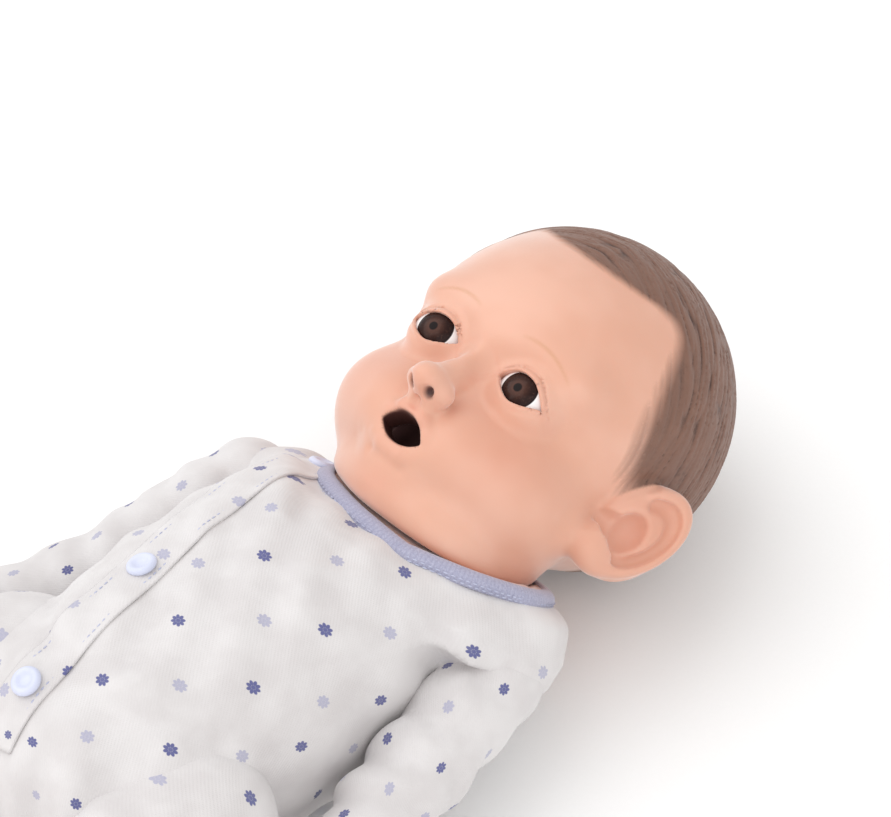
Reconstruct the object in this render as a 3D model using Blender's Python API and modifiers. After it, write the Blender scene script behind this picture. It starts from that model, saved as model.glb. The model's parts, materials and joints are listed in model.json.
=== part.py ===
"""Interactive baby doll lying on its back.

A soft vinyl head and four vinyl limbs on a two-part plastic torso that holds the sound
electronics and the batteries, dressed in a snap-front cotton romper.

Row frame: +X is the doll's left, +Y runs from the feet to the crown, +Z is up and the way
the doll faces. The origin is on the floor under the middle of its back.
Lengths below are millimetres; MM turns them into Blender's metres.
"""

import math

import bmesh
import bpy
from mathutils import Matrix, Vector

MM = 0.001
GAP = 0.35

# Torso: a rounded box, flattened where the back lies on the floor.
TORSO_CENTRE = Vector((0, -6, 44.5))
TORSO_HALF = Vector((44.5, 92, 41.5))
BACK_DEPTH = 52
CHEST_SLOPE = 0.0042
BACK_Z = 3.0
PELVIS_HALF_WIDTH = 39
WALL = 2.5
SPLIT_Z = 45.0
CLOTH_IN = 0.8
CLOTH_OUT = 3.0

# Neck: the head turns on a plug whose axis stands square to the slanted neckline.
NECK = Vector((0, 68.1, 39.35))
NECK_TILT = math.radians(44)
STEM_R = 12.5
STEM_BORE_R = 9
PLUG_R = 17.2
NECK_SKIN_R = 21.5
RIM_LOW = 0.8
RIM_HIGH = 4.2

# Head: its own frame has its origin between the eyes, +Y to the crown, +Z to the front.
HEAD_FLEX = math.radians(25)
EYES_MIDDLE = Vector((0, 94.65, 104.9))
HEAD_WALL = 4.0
EYE_X = 18.5
EYE_R = 11.0
EYE_Z = -11.0
MOUTH = Vector((0, -34, 0))
MOUTH_R = 8.4
LINER_FLOOR_Z = -22.0
NOSTRIL = Vector((3.2, -21.5, 0))
NOSTRIL_R = 1.5
EAR = Vector((55, -7, -57))
EAR_HALF = (5.5, 19, 13)
EAR_LEAN = 0.55
SKIN_VOXEL = 9.2
CAVITY_VOXEL = 14.0

# Limbs turn about lines along X.
SHOULDER = Vector((49, 50, 42))
HIP = Vector((27.3, -66, 44))
HIP_STEP_X = 26.0
HIP_STEP_Y = -36.0
ARM_LINE = (
    ((57.5, 50, 42), 13.5),
    ((60, 30, 38), 13.0),
    ((63, 10, 33), 12.3),
    ((66, -8, 30), 11.8),
    ((71.5, -24, 29), 11.0),
    ((77, -40, 30), 9.2),
    ((80.5, -52, 31), 8.0),
)
LEG_LINE = (
    ((40.5, -68, 44), 24.0),
    ((44.5, -86, 47), 22.0),
    ((48, -104, 49), 19.0),
    ((50, -120, 48), 17.0),
    ((50, -136, 42), 16.5),
    ((49, -153, 34), 14.5),
    ((48, -168, 28), 12.0),
)
WRIST = (79.2, -48.4, 30.6)
WRIST_TURN = math.radians(16)
ANKLE = (48.5, -161.2, 30.8)
ANKLE_TURN = math.radians(24)
SLEEVE_GROW = 3.4
SLEEVE_GAP = 0.9

# Electronics.
BATTERY_R = 7.1
BATTERY_PITCH = 15.2
BOX_CENTRE = Vector((0, 1.5, 15))
BOX_SIZE = Vector((49, 61, 17.5))
COVER_SCREW_OUT = 2.6
BOARD_SIZE = Vector((50, 42, 1.6))
BOARD_CENTRE = Vector((0, -1, 34.5))
SPEAKER = Vector((0, -10, 0))
SPEAKER_FRONT_Z = 79.5
LEAD_R = 0.8
TUMMY_BUTTON = Vector((0, -52, 0))
SWITCH = Vector((0, 41, 0))
SCREW_SPOTS = ((30, 28), (-30, 28), (30, -20), (-30, -20))

# Front opening of the romper, from the right of the neck to the crotch.
PLACKET_TOP = Vector((-27, 60, 0))
PLACKET_BOTTOM = Vector((-9, -98, 0))
PLACKET_WIDTH = 15
PLACKET_OUT = 4.6
SNAP_Y = (42, -26, -76)
SNAP_R = 5.0

MATERIALS = {
    "skin_vinyl": ((0.86, 0.60, 0.47), 0.45, 0.0),
    "eye_acrylic": ((0.20, 0.11, 0.08), 0.08, 0.0),
    "mouth_silicone": ((0.10, 0.05, 0.05), 0.6, 0.0),
    "romper_cotton": ((0.93, 0.92, 0.93), 0.9, 0.0),
    "trim_rib": ((0.68, 0.70, 0.80), 0.9, 0.0),
    "snap_plastic": ((0.78, 0.80, 0.88), 0.35, 0.0),
    "white_plastic": ((0.85, 0.85, 0.84), 0.5, 0.0),
    "dark_plastic": ((0.08, 0.08, 0.09), 0.5, 0.0),
    "board_green": ((0.05, 0.25, 0.12), 0.5, 0.0),
    "steel": ((0.62, 0.62, 0.64), 0.3, 1.0),
    "battery_wrap": ((0.15, 0.22, 0.45), 0.35, 0.0),
    "wire_red": ((0.55, 0.05, 0.05), 0.5, 0.0),
}

for old in list(bpy.data.objects):
    bpy.data.objects.remove(old)
parts = bpy.data.collections.new("interactive_baby_doll")
cutters = bpy.data.collections.new("cutters")
for made in (parts, cutters):
    bpy.context.scene.collection.children.link(made)


# ---------------------------------------------------------------- helpers

def make_materials():
    """One Principled material for each entry of MATERIALS."""
    for name, (colour, roughness, metallic) in MATERIALS.items():
        made = bpy.data.materials.new(name)
        made.use_nodes = True
        shader = made.node_tree.nodes["Principled BSDF"]
        shader.inputs["Base Color"].default_value = (*colour, 1)
        shader.inputs["Roughness"].default_value = roughness
        shader.inputs["Metallic"].default_value = metallic


def pivot(name, spot=(0, 0, 0), turn=None, parent=None):
    """An empty on a joint, which the moving body's pieces hang from."""
    empty = bpy.data.objects.new(name, None)
    parts.objects.link(empty)
    world = Matrix.Translation(Vector(spot) * MM) @ (turn or Matrix.Identity(4))
    if parent:
        empty.parent = parent
        empty.matrix_parent_inverse = parent.matrix_world.inverted()
    empty.matrix_world = world
    bpy.context.view_layer.update()
    return empty


def helper(obj):
    """Moves an object to the cutters, where it is left out of the doll."""
    for home in list(obj.users_collection):
        home.objects.unlink(obj)
    cutters.objects.link(obj)
    obj.hide_render = True
    obj.display_type = "WIRE"
    return obj


def mesh_object(name, bm, at=(0, 0, 0), turn=None):
    """A bmesh in millimetres becomes an object in metres, placed by its location and turn."""
    bmesh.ops.scale(bm, vec=(MM, MM, MM), verts=bm.verts)
    mesh = bpy.data.meshes.new(name)
    bm.to_mesh(mesh)
    bm.free()
    mesh.shade_smooth()
    mesh.set_sharp_from_angle(angle=math.radians(35))
    obj = bpy.data.objects.new(name, mesh)
    parts.objects.link(obj)
    obj.matrix_world = Matrix.Translation(Vector(at) * MM) @ (turn or Matrix.Identity(4))
    bpy.context.view_layer.update()
    return obj


def finish(obj, body, material):
    """Gives a piece its material and hangs it from its body's empty without moving it."""
    obj.data.materials.clear()
    obj.data.materials.append(bpy.data.materials[material])
    world = obj.matrix_world.copy()
    obj.parent = body
    obj.matrix_parent_inverse = body.matrix_world.inverted()
    obj.matrix_world = world
    return obj


def box(name, low, high, at=(0, 0, 0), turn=None):
    bm = bmesh.new()
    low, high = Vector(low), Vector(high)
    middle = Matrix.Translation((low + high) / 2) @ Matrix.Diagonal((*(high - low), 1))
    bmesh.ops.create_cube(bm, size=1, matrix=middle)
    return mesh_object(name, bm, at, turn)


def cylinder(name, radius, low, high, at=(0, 0, 0), turn=None, sides=20):
    """A cylinder along its own Z from low to high."""
    bm = bmesh.new()
    bmesh.ops.create_cone(
        bm, cap_ends=True, segments=sides, radius1=radius, radius2=radius, depth=high - low,
        matrix=Matrix.Translation((0, 0, (low + high) / 2)),
    )
    return mesh_object(name, bm, at, turn)


def ball(name, centre, half, at=(0, 0, 0), turn=None, sides=20, rings=12, tilt=None):
    """A sphere, or an ellipsoid where half is three half-axes."""
    half = (half,) * 3 if isinstance(half, (int, float)) else half
    bm = bmesh.new()
    place = Matrix.Translation(centre) @ (tilt or Matrix.Identity(4)) @ Matrix.Diagonal((*half, 1))
    bmesh.ops.create_uvsphere(bm, u_segments=sides, v_segments=rings, radius=1, matrix=place)
    return mesh_object(name, bm, at, turn)


def turned(name, profile, at=(0, 0, 0), turn=None, steps=24):
    """A closed profile of (radius, height) points, turned about Z."""
    pairs = list(zip(profile, (*profile[1:], profile[0])))
    if sum(a[0] * b[1] - b[0] * a[1] for a, b in pairs) > 0:
        profile = profile[::-1]
    bm = bmesh.new()
    loop = [bm.verts.new((r, 0, z)) for r, z in profile]
    for first, second in zip(loop, loop[1:] + loop[:1]):
        if first.co.x > 0 or second.co.x > 0:
            bm.edges.new((first, second))
    obj = mesh_object(name, bm, at, turn)
    screw = obj.modifiers.new("turn", "SCREW")
    screw.steps = screw.render_steps = steps
    screw.use_merge_vertices = True
    screw.merge_threshold = 0.00001
    screw.use_smooth_shade = False
    return obj


def tube(name, points, radii, sides=12, at=(0, 0, 0), turn=None):
    """A round limb or wire along points, as a mesh whose caps are welded."""
    curve = bpy.data.curves.new(name, "CURVE")
    curve.dimensions = "3D"
    curve.bevel_depth = MM
    curve.bevel_resolution = sides // 2 - 2
    curve.use_fill_caps = True
    spline = curve.splines.new("POLY")
    spline.points.add(len(points) - 1)
    for spot, point, radius in zip(spline.points, points, radii):
        spot.co = (*(Vector(point) * MM), 1)
        spot.radius = radius
    draft = bpy.data.objects.new(name + "_curve", curve)
    parts.objects.link(draft)
    bpy.context.view_layer.update()
    mesh = bpy.data.meshes.new_from_object(draft.evaluated_get(bpy.context.evaluated_depsgraph_get()))
    bpy.data.objects.remove(draft)
    bm = bmesh.new()
    bm.from_mesh(mesh)
    bmesh.ops.remove_doubles(bm, verts=bm.verts, dist=0.00001)
    bmesh.ops.scale(bm, vec=(1 / MM,) * 3, verts=bm.verts)
    return mesh_object(name, bm, at, turn)


def boolean(obj, other, operation):
    modifier = obj.modifiers.new(operation.lower(), "BOOLEAN")
    modifier.operation = operation
    modifier.object = helper(other)
    return obj


def carve(obj, *others):
    for other in others:
        boolean(obj, other, "DIFFERENCE")
    return obj


def fuse(obj, *others):
    for other in others:
        boolean(obj, other, "UNION")
    return obj


def settled(obj, name):
    """A copy of obj with its modifiers applied, as a new object with its own mesh."""
    bpy.context.view_layer.update()
    graph = bpy.context.evaluated_depsgraph_get()
    mesh = bpy.data.meshes.new_from_object(obj.evaluated_get(graph))
    mesh.name = name
    copy = bpy.data.objects.new(name, mesh)
    parts.objects.link(copy)
    copy.matrix_world = obj.matrix_world
    return copy


def mirrored(obj, name):
    """The same piece for the doll's other side, in world space."""
    copy = settled(obj, name)
    bm = bmesh.new()
    bm.from_mesh(copy.data)
    bmesh.ops.transform(bm, matrix=Matrix.Diagonal((-1, 1, 1, 1)) @ copy.matrix_world, verts=bm.verts)
    bmesh.ops.reverse_faces(bm, faces=bm.faces)
    bm.to_mesh(copy.data)
    bm.free()
    copy.matrix_world = Matrix.Identity(4)
    return copy


def smooth_line(knots, steps):
    """(points, radii) read from a Catmull-Rom curve through knots of (point, radius)."""
    rows = [Vector((*point, radius)) for point, radius in knots]
    rows = [2 * rows[0] - rows[1], *rows, 2 * rows[-1] - rows[-2]]
    found = []
    for a, b, c, d in zip(rows, rows[1:], rows[2:], rows[3:]):
        for i in range(steps):
            t = i / steps
            found.append(0.5 * (2 * b + (c - a) * t + (2 * a - 5 * b + 4 * c - d) * t**2
                                + (3 * b - a - 3 * c + d) * t**3))
    found.append(rows[-2])
    return [row.to_3d() for row in found], [row[3] for row in found]


def along_x(side=1):
    """Turns a piece made along Z so that it points to +X, or to -X."""
    return Matrix.Rotation(side * math.pi / 2, 4, "Y")


# ---------------------------------------------------------------- torso and romper forms

def rounded_box(name, grow, sides=20, rings=12):
    """The torso's rounded box, grown outwards by grow."""
    bm = bmesh.new()
    bmesh.ops.create_uvsphere(bm, u_segments=sides, v_segments=rings, radius=1)
    half = TORSO_HALF + Vector((grow, grow, grow))
    back = BACK_DEPTH + grow

    def bulge(value, power):
        return math.copysign(abs(value) ** power, value)

    for vert in bm.verts:
        around = math.atan2(-vert.co.y, vert.co.x)
        ring = math.hypot(vert.co.x, vert.co.y)
        y = bulge(vert.co.z, 0.7)
        girth = bulge(ring, 0.62)
        narrow = min(1, max(0, -y - 0.1) / 0.6)
        width = half.x + (PELVIS_HALF_WIDTH - TORSO_HALF.x) * narrow
        depth = half.z if math.sin(around) > 0 else back
        vert.co = TORSO_CENTRE + Vector((
            width * girth * bulge(math.cos(around), 0.82),
            half.y * y,
            depth * girth * bulge(math.sin(around), 0.82),
        ))
        front = max(0, (vert.co.z - TORSO_CENTRE.z) / half.z)
        vert.co.z -= CHEST_SLOPE * max(0, vert.co.y) ** 2 * front
    return mesh_object(name, bm)


def neckline_side(name, start, end=90):
    """The slab on the head's side of the slanted neckline, from start to end in front of it."""
    return box(name, (-90, -90, start), (90, 90, end), NECK, neck_turn())


def hip_cutters(name, inset):
    """The two boxes that make room for the thighs, inset further into the pelvis."""
    x, y = HIP_STEP_X - inset, HIP_STEP_Y + inset
    return [
        box(f"{name}_left", (x, -150, -50), (120, y, 150)),
        box(f"{name}_right", (-120, -150, -50), (-x, y, 150)),
    ]


def neck_turn():
    """The neck's own frame: its Z is the axis that the head turns on, square to the neckline."""
    return Matrix.Rotation(NECK_TILT - math.pi / 2, 4, "X")


def across(name, radius, reach, spot, sides=20):
    """A cylinder along X through both sides of the doll, in line with spot."""
    return cylinder(name, radius, -reach, reach, (0, spot.y, spot.z), along_x(), sides)


def torso_form(name, grow):
    """The rounded box with its arm seats and its flat back, before the neckline is cut."""
    form = rounded_box(name, grow)
    fuse(form, across(f"{name}_arm_seat", 15 + grow, SHOULDER.x - 3.6 + grow * 0.8, SHOULDER))
    return carve(form, box(f"{name}_floor", (-90, -150, -60), (90, 150, BACK_Z - grow)))


def column(name, radius, low, high):
    """The four screw columns that join the two halves of the torso."""
    return [cylinder(f"{name}_{i}", radius, low, high, (x, y, 0), sides=8)
            for i, (x, y) in enumerate(SCREW_SPOTS)]


def torso_shells(torso):
    """Two halves that hold the neck plug between them, with four screw columns left standing inside."""
    half = BOX_SIZE / 2
    for side in ("front", "back"):
        room = torso_form(f"{side}_room", -WALL)
        carve(room, neckline_side(f"{side}_room_neckline", -WALL), *hip_cutters(f"{side}_room_hip", WALL))
        carve(room, *column(f"{side}_column", 4.6, -10, 100))

        shell = torso_form(f"torso_{side}_shell", 0)
        carve(shell, neckline_side(f"{side}_neckline", 0), *hip_cutters(f"{side}_hip", 0), room)
        carve(shell, cylinder(f"{side}_neck_hole", STEM_R + GAP, -10, 10, NECK, neck_turn(), 20))
        carve(shell, across(f"{side}_shoulder_hole", 6.5, 60, SHOULDER))
        carve(shell, across(f"{side}_hip_hole", 8.5, 60, HIP))
        carve(shell, *column(f"{side}_pilot_hole", 1.7, -10, 66))
        if side == "front":
            carve(shell, box("below_split", (-90, -150, -50), (90, 150, SPLIT_Z + GAP / 2)))
            for i in range(6):
                angle = math.tau * i / 6
                spot = SPEAKER + Vector((9 * math.cos(angle), 9 * math.sin(angle), 0))
                carve(shell, cylinder(f"grille_hole_{i}", 1.8, 70, 95, spot, sides=8))
            carve(shell, cylinder("button_hole", 9.4, 70, 95, TUMMY_BUTTON, sides=20))
        else:
            carve(shell, box("above_split", (-90, -150, SPLIT_Z - GAP / 2), (90, 150, 150)))
            carve(shell, *column("screw_sink", 3.2, -10, 9.4))
            carve(shell, box("battery_opening", (-half.x + 1, BOX_CENTRE.y - half.y + 1, -5),
                             (half.x - 1, BOX_CENTRE.y + half.y - 1, 5.8)))
            carve(shell, cylinder("cover_screw_sink", 3.0, -5, 6.4,
                                  (0, BOX_CENTRE.y - half.y - COVER_SCREW_OUT, 0), sides=12))
            carve(shell, box("switch_slot", (-6, SWITCH.y - 2.4, -5), (6, SWITCH.y + 2.4, 8)))
        finish(shell, torso, "white_plastic")


def romper(torso):
    body = torso_form("romper_body", CLOTH_OUT)
    carve(body, torso_form("romper_inside", CLOTH_IN), neckline_side("romper_neckline", 0))
    carve(body, *hip_cutters("romper_hip", -0.4))
    carve(body, across("arm_holes", 12, 60, SHOULDER))
    for cut in body.modifiers:
        # The exact solver leaves this thin shell open where its two walls run side by side.
        cut.solver = "MANIFOLD"
    finish(body, torso, "romper_cotton")

    line = PLACKET_BOTTOM - PLACKET_TOP
    aim = Matrix.Rotation(math.atan2(line.y, line.x), 4, "Z")
    strip = box("placket_strip", (0, -PLACKET_WIDTH / 2, SPLIT_Z), (line.length, PLACKET_WIDTH / 2, 95),
                PLACKET_TOP, aim)
    placket = torso_form("front_placket", PLACKET_OUT)
    carve(placket, torso_form("placket_inside", CLOTH_OUT + GAP), neckline_side("placket_top", -1))
    boolean(placket, strip, "INTERSECT")
    finish(placket, torso, "romper_cotton")

    band = torso_form("neckband", CLOTH_OUT + 0.5)
    carve(band, torso_form("neckband_inside", -0.4), neckline_side("neckband_top", GAP + 3.4))
    boolean(band, neckline_side("neckband_slab", GAP), "INTERSECT")
    carve(band, cylinder("neck_clearance", NECK_SKIN_R + 1, -5, 20, NECK, neck_turn(), 24))
    finish(band, torso, "trim_rib")


def front_height(y, grow):
    """Height of the torso form's front along its middle, at this y."""
    share = (y - TORSO_CENTRE.y) / (TORSO_HALF.y + grow)
    girth = (1 - abs(share) ** (2 / 0.7)) ** (0.62 / 2)
    return TORSO_CENTRE.z + (TORSO_HALF.z + grow) * girth - CHEST_SLOPE * max(0, y) ** 2 * girth


def snaps(torso):
    for i, y in enumerate(SNAP_Y, 1):
        share = (y - PLACKET_TOP.y) / (PLACKET_BOTTOM.y - PLACKET_TOP.y)
        x = PLACKET_TOP.x + (PLACKET_BOTTOM.x - PLACKET_TOP.x) * share
        slope = (front_height(y + 2, PLACKET_OUT) - front_height(y - 2, PLACKET_OUT)) / 4
        lean = Matrix.Rotation(math.atan(slope), 4, "X") @ Matrix.Rotation(math.radians(x * 0.9), 4, "Y")
        cap = turned(f"romper_snap_{i}", ((0, 1.3), (3.4, 1.2), (4.7, 0.8), (SNAP_R, 0), (0, 0)),
                     (x, y, front_height(y, PLACKET_OUT) + 0.5 - abs(x) * 0.02), lean, 16)
        finish(cap, torso, "snap_plastic")


# ---------------------------------------------------------------- head

HEAD_LUMPS = (
    # centre, half-axes: cranium, lower face, cheeks, nose, chin, brow
    ((0, 17, -59.5), (54, 56.5, 58.7)),
    ((0, -18, -36), (47, 31, 37)),
    ((28, -20, -26), (22, 22, 27)),
    ((-28, -20, -26), (22, 22, 27)),
    ((0, -17, 1), (7.5, 10, 10)),
    ((0, -41, -13), (13, 11, 12)),
    ((0, 14, -25), (34, 24, 25)),
)


def head_matrix():
    """Head frame to row frame, in metres."""
    return Matrix.Translation(EYES_MIDDLE * MM) @ Matrix.Rotation(HEAD_FLEX, 4, "X")


def head_place():
    """(at, turn) that put a piece made in the head's frame where the head is."""
    world = head_matrix()
    return world.translation / MM, world.to_3x3().to_4x4()


def lumps(name, grow, voxel, ears):
    """The head's rounded masses grown into one closed skin."""
    bm = bmesh.new()
    masses = [(c, [h + grow for h in half], Matrix.Identity(4)) for c, half in HEAD_LUMPS]
    if ears:
        masses += [((side * EAR.x, EAR.y, EAR.z), EAR_HALF, Matrix.Rotation(side * EAR_LEAN, 4, "Y"))
                   for side in (1, -1)]
    for centre, half, tilt in masses:
        place = Matrix.Translation(centre) @ tilt @ Matrix.Diagonal((*half, 1))
        bmesh.ops.create_uvsphere(bm, u_segments=24, v_segments=16, radius=1, matrix=place)
    obj = mesh_object(name, bm, *head_place())
    remesh = obj.modifiers.new("skin", "REMESH")
    remesh.mode = "VOXEL"
    remesh.voxel_size = voxel * MM
    soften = obj.modifiers.new("soften", "SMOOTH")
    soften.factor = 0.5
    soften.iterations = 2
    return obj


def head_pieces(head):
    at, turn = head_place()
    shell = lumps("head_shell", 0, SKIN_VOXEL, True)
    neck = cylinder("neck_skin", NECK_SKIN_R, RIM_LOW, 22, NECK, neck_turn(), 24)
    fuse(shell, neck)
    cavity = lumps("head_cavity", -HEAD_WALL, CAVITY_VOXEL, False)
    carve(cavity, neckline_side("head_floor", -60, 9))
    carve(shell, cavity)
    for side, name in ((1, "left"), (-1, "right")):
        carve(shell, ball(f"{name}_eye_seat", (side * EYE_X, 0, EYE_Z), EYE_R + GAP, at, turn, 16, 8))
        carve(shell, cylinder(f"{name}_cup_seat", EYE_R + 0.9, EYE_Z - 16, EYE_Z - 5,
                              at + turn.to_3x3() @ Vector((side * EYE_X, 0, 0)), turn, 16))
        nostril_at = at + turn.to_3x3() @ Vector((side * NOSTRIL.x, NOSTRIL.y, NOSTRIL.z))
        carve(shell, cylinder(f"{name}_nostril", NOSTRIL_R, -14, 20, nostril_at, turn, 10))
    mouth_at = at + turn.to_3x3() @ MOUTH
    carve(shell, cylinder("mouth_hole", MOUTH_R, -24, 20, mouth_at, turn, 20))
    carve(shell, cylinder("plug_room", PLUG_R + 0.8, RIM_HIGH, 16, NECK, neck_turn(), 22))
    carve(shell, cylinder("neck_opening", STEM_R + GAP, -10, 10, NECK, neck_turn(), 22))
    finish(shell, head, "skin_vinyl")

    for side, name in ((1, "left"), (-1, "right")):
        eye = ball(f"{name}_eye", (side * EYE_X, 0, EYE_Z), EYE_R, at, turn, 16, 8)
        finish(eye, head, "eye_acrylic")
        cup_at = at + turn.to_3x3() @ Vector((side * EYE_X, 0, EYE_Z))
        cup = turned(f"{name}_eye_cup", (
            (11.45, -6), (9.4, -8.9), (5.5, -11.8), (0, -13), (0, -11.5),
            (4.9, -10.4), (8.2, -8), (9.9, -6)), cup_at, turn, 14)
        finish(cup, head, "white_plastic")

    liner = turned("mouth_liner", (
        (MOUTH_R - GAP, -1.5), (MOUTH_R - GAP, LINER_FLOOR_Z + 1.5), (5, LINER_FLOOR_Z), (0, LINER_FLOOR_Z),
        (0, LINER_FLOOR_Z + 1.2), (4.6, LINER_FLOOR_Z + 1.2), (6.9, LINER_FLOOR_Z + 2.5), (6.9, -1.5)),
        mouth_at, turn, 16)
    finish(liner, head, "mouth_silicone")
    sensor = cylinder("feeding_sensor", 7, LINER_FLOOR_Z - 2.2, LINER_FLOOR_Z - 0.6, mouth_at, turn, 14)
    finish(sensor, head, "board_green")


def neck_plug(torso):
    """Held by its lower flange between the torso halves; the head's rim rides under its top flange."""
    low = -WALL - GAP
    plug = turned("neck_plug", (
        (PLUG_R - 2, RIM_HIGH + 3.4), (PLUG_R, RIM_HIGH + 2), (PLUG_R, RIM_HIGH + GAP),
        (STEM_R, RIM_HIGH + GAP), (STEM_R, low), (PLUG_R, low), (PLUG_R, low - 2.5), (STEM_BORE_R, low - 2.5),
        (STEM_BORE_R, RIM_HIGH + 3.4)),
        NECK, neck_turn(), 22)
    finish(plug, torso, "white_plastic")


# ---------------------------------------------------------------- limbs

def limb_form(name, knots, grow):
    """A limb's tapered round form with a ball at its root, grown by grow."""
    points = [point for point, radius in knots]
    form = tube(name, points, [radius + grow for point, radius in knots], 10)
    root, radius = knots[0]
    return fuse(form, ball(f"{name}_root", root, radius + grow + 0.25, sides=12, rings=8))


def inside_of(name, x):
    """All that is nearer the doll's middle than x."""
    return box(name, (-60, -250, -120), (x, 150, 220))


def hand(arm):
    """Palm, four fingers and a thumb, with the palm facing the thigh."""
    fuse(arm, ball("palm", (82.5, -65, 32), (6.5, 14, 11.5), sides=12, rings=8))
    for i, (z, reach) in enumerate(((39.5, 13), (34, 16), (28.8, 15), (23.8, 11))):
        bends = ((83, -70), (83.5, -77 - reach * 0.2), (82.5, -77 - reach * 0.6), (80.5, -77 - reach))
        line = [(x, y, z) for x, y in bends]
        fuse(arm, tube(f"finger_{i}", line, (3.7, 3.5, 3.2, 2.1), 6))
    fuse(arm, tube("thumb", ((81, -58, 39), (79.5, -66, 44.5), (78.5, -74, 46.5), (78, -79, 46.5)),
                   (4.3, 4.1, 3.5, 2.2), 6))


def arm_set(left, right):
    arm = limb_form("left_arm", ARM_LINE, 0)
    hand(arm)
    carve(arm, inside_of("arm_root_plane", SHOULDER.x))
    carve(arm, cylinder("arm_pin_hole", 6.4, -20, 8.5, SHOULDER, along_x(), 18))

    sleeve = limb_form("left_sleeve", ARM_LINE, SLEEVE_GROW)
    carve(sleeve, limb_form("sleeve_inside", ARM_LINE, SLEEVE_GAP))
    carve(sleeve, inside_of("sleeve_root_plane", SHOULDER.x),
          box("wrist_end", (30, -140, 0), (110, -39, 80)))
    wrist = Matrix.Rotation(WRIST_TURN, 4, "Z") @ Matrix.Rotation(math.pi / 2, 4, "X")
    cuff = turned("left_cuff", ((12.5, 4), (12.8, 0), (12.5, -4), (10.1, -4), (10.2, 0), (10.1, 4)),
                  WRIST, wrist, 16)

    shaft = turned("left_shoulder_pin", (
        (8.4, -6.5), (8.4, -9.5), (0, -9.5), (0, 8), (6, 8), (6, -6.5)), SHOULDER, along_x(), 16)
    for piece, material in ((arm, "skin_vinyl"), (sleeve, "romper_cotton"), (cuff, "trim_rib"),
                            (shaft, "white_plastic")):
        copy = mirrored(piece, piece.name.replace("left", "right"))
        finish(piece, left, material)
        finish(copy, right, material)


def foot(leg):
    """Heel, sole and five toes, with the toes pointing up."""
    fuse(leg, ball("heel", (47.5, -178, 17), (11.5, 14, 13.5), sides=12, rings=8))
    fuse(leg, ball("sole", (49.5, -184, 38), (12.5, 10, 27), sides=12, rings=8,
                   tilt=Matrix.Rotation(-0.06, 4, "Y") @ Matrix.Rotation(0.06, 4, "X")))
    for i, size in enumerate((4.6, 3.8, 3.6, 3.4, 3.1)):
        spot = (42.5 + i * 4.6, -186, 61 - i * 1.6)
        fuse(leg, ball(f"toe_{i}", spot, (size, size, size * 1.25), sides=8, rings=6))


def leg_set(left, right):
    leg = limb_form("left_leg", LEG_LINE, 0)
    foot(leg)
    carve(leg, inside_of("leg_root_plane", HIP.x))
    carve(leg, cylinder("leg_pin_hole", 8.4, -20, 11.5, HIP, along_x(), 18))

    sleeve = limb_form("left_leg_sleeve", LEG_LINE, SLEEVE_GROW)
    carve(sleeve, limb_form("leg_sleeve_inside", LEG_LINE, SLEEVE_GAP))
    ankle = Matrix.Rotation(ANKLE_TURN, 4, "X")
    carve(sleeve, inside_of("leg_sleeve_root_plane", HIP.x),
          box("ankle_end", (-60, -90, -60), (60, 0, 60), (50, -155, 33), ankle))
    cuff = turned("left_ankle_cuff", ((17.6, 5.5), (17.2, 0), (15.6, -5), (13.0, -5), (14.6, 0), (15.9, 5.5)),
                  ANKLE, Matrix.Rotation(ANKLE_TURN - math.pi / 2, 4, "X"), 16)

    shaft = turned("left_hip_pin", (
        (12, -6.8), (12, -9.8), (0, -9.8), (0, 11), (8, 11), (8, -6.8)), HIP, along_x(), 16)
    for piece, material in ((leg, "skin_vinyl"), (sleeve, "romper_cotton"), (cuff, "trim_rib"),
                            (shaft, "white_plastic")):
        copy = mirrored(piece, piece.name.replace("left", "right"))
        finish(piece, left, material)
        finish(copy, right, material)


# ---------------------------------------------------------------- electronics

def battery_pack(torso):
    half = BOX_SIZE / 2
    tray = box("battery_box", -half, half, BOX_CENTRE)
    fuse(tray, box("screw_block", (-6, -half.y - 6, -half.z), (6, -half.y + 1, half.z), BOX_CENTRE))
    carve(tray, box("battery_room", (-half.x + 1.5, -half.y + 1.5, -half.z - 5),
                    (half.x - 1.5, half.y - 1.5, half.z - 1.5), BOX_CENTRE))
    for x in (-20, 20):
        for y in (-16, 16):
            post_at = BOX_CENTRE + Vector((x, y - 2.5, 0))
            fuse(tray, cylinder(f"board_post_{x}_{y}", 2.5, half.z - 1, 18.3, post_at, sides=10))
    screw_at = BOX_CENTRE + Vector((0, -half.y - COVER_SCREW_OUT, 0))
    carve(tray, cylinder("cover_screw_hole", 1.7, -20, 2, screw_at, sides=12))
    finish(tray, torso, "white_plastic")

    for i in (1, 2, 3):
        cell = turned(f"battery_{i}", (
            (0, 26.2), (2.6, 26.2), (2.6, 25), (BATTERY_R, 25), (BATTERY_R, -25), (0, -25)),
            BOX_CENTRE + Vector(((i - 2) * BATTERY_PITCH, 0, -0.6)),
            Matrix.Rotation(math.pi / 2 * (1 if i % 2 else -1), 4, "X"), 18)
        finish(cell, torso, "battery_wrap")
    for name, y in (("battery_contact_top", 27.6), ("battery_contact_bottom", -28.2)):
        contact = box(name, (-21, y, -7), (21, y + 0.6, 5), BOX_CENTRE)
        finish(contact, torso, "steel")

    lid = box("battery_cover", (-half.x + 1.4, BOX_CENTRE.y - half.y + 1.4, BACK_Z + 0.1),
              (half.x - 1.4, BOX_CENTRE.y + half.y - 1.4, 5.6))
    finish(lid, torso, "white_plastic")
    screw = turned("battery_cover_screw", (
        (0, 3.4), (2.6, 3.4), (2.6, 5.0), (1.5, 5.4), (1.5, 14), (0, 14.5)),
                   (0, BOX_CENTRE.y - half.y - COVER_SCREW_OUT, 0), None, 10)
    finish(screw, torso, "steel")
    return tray


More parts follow.
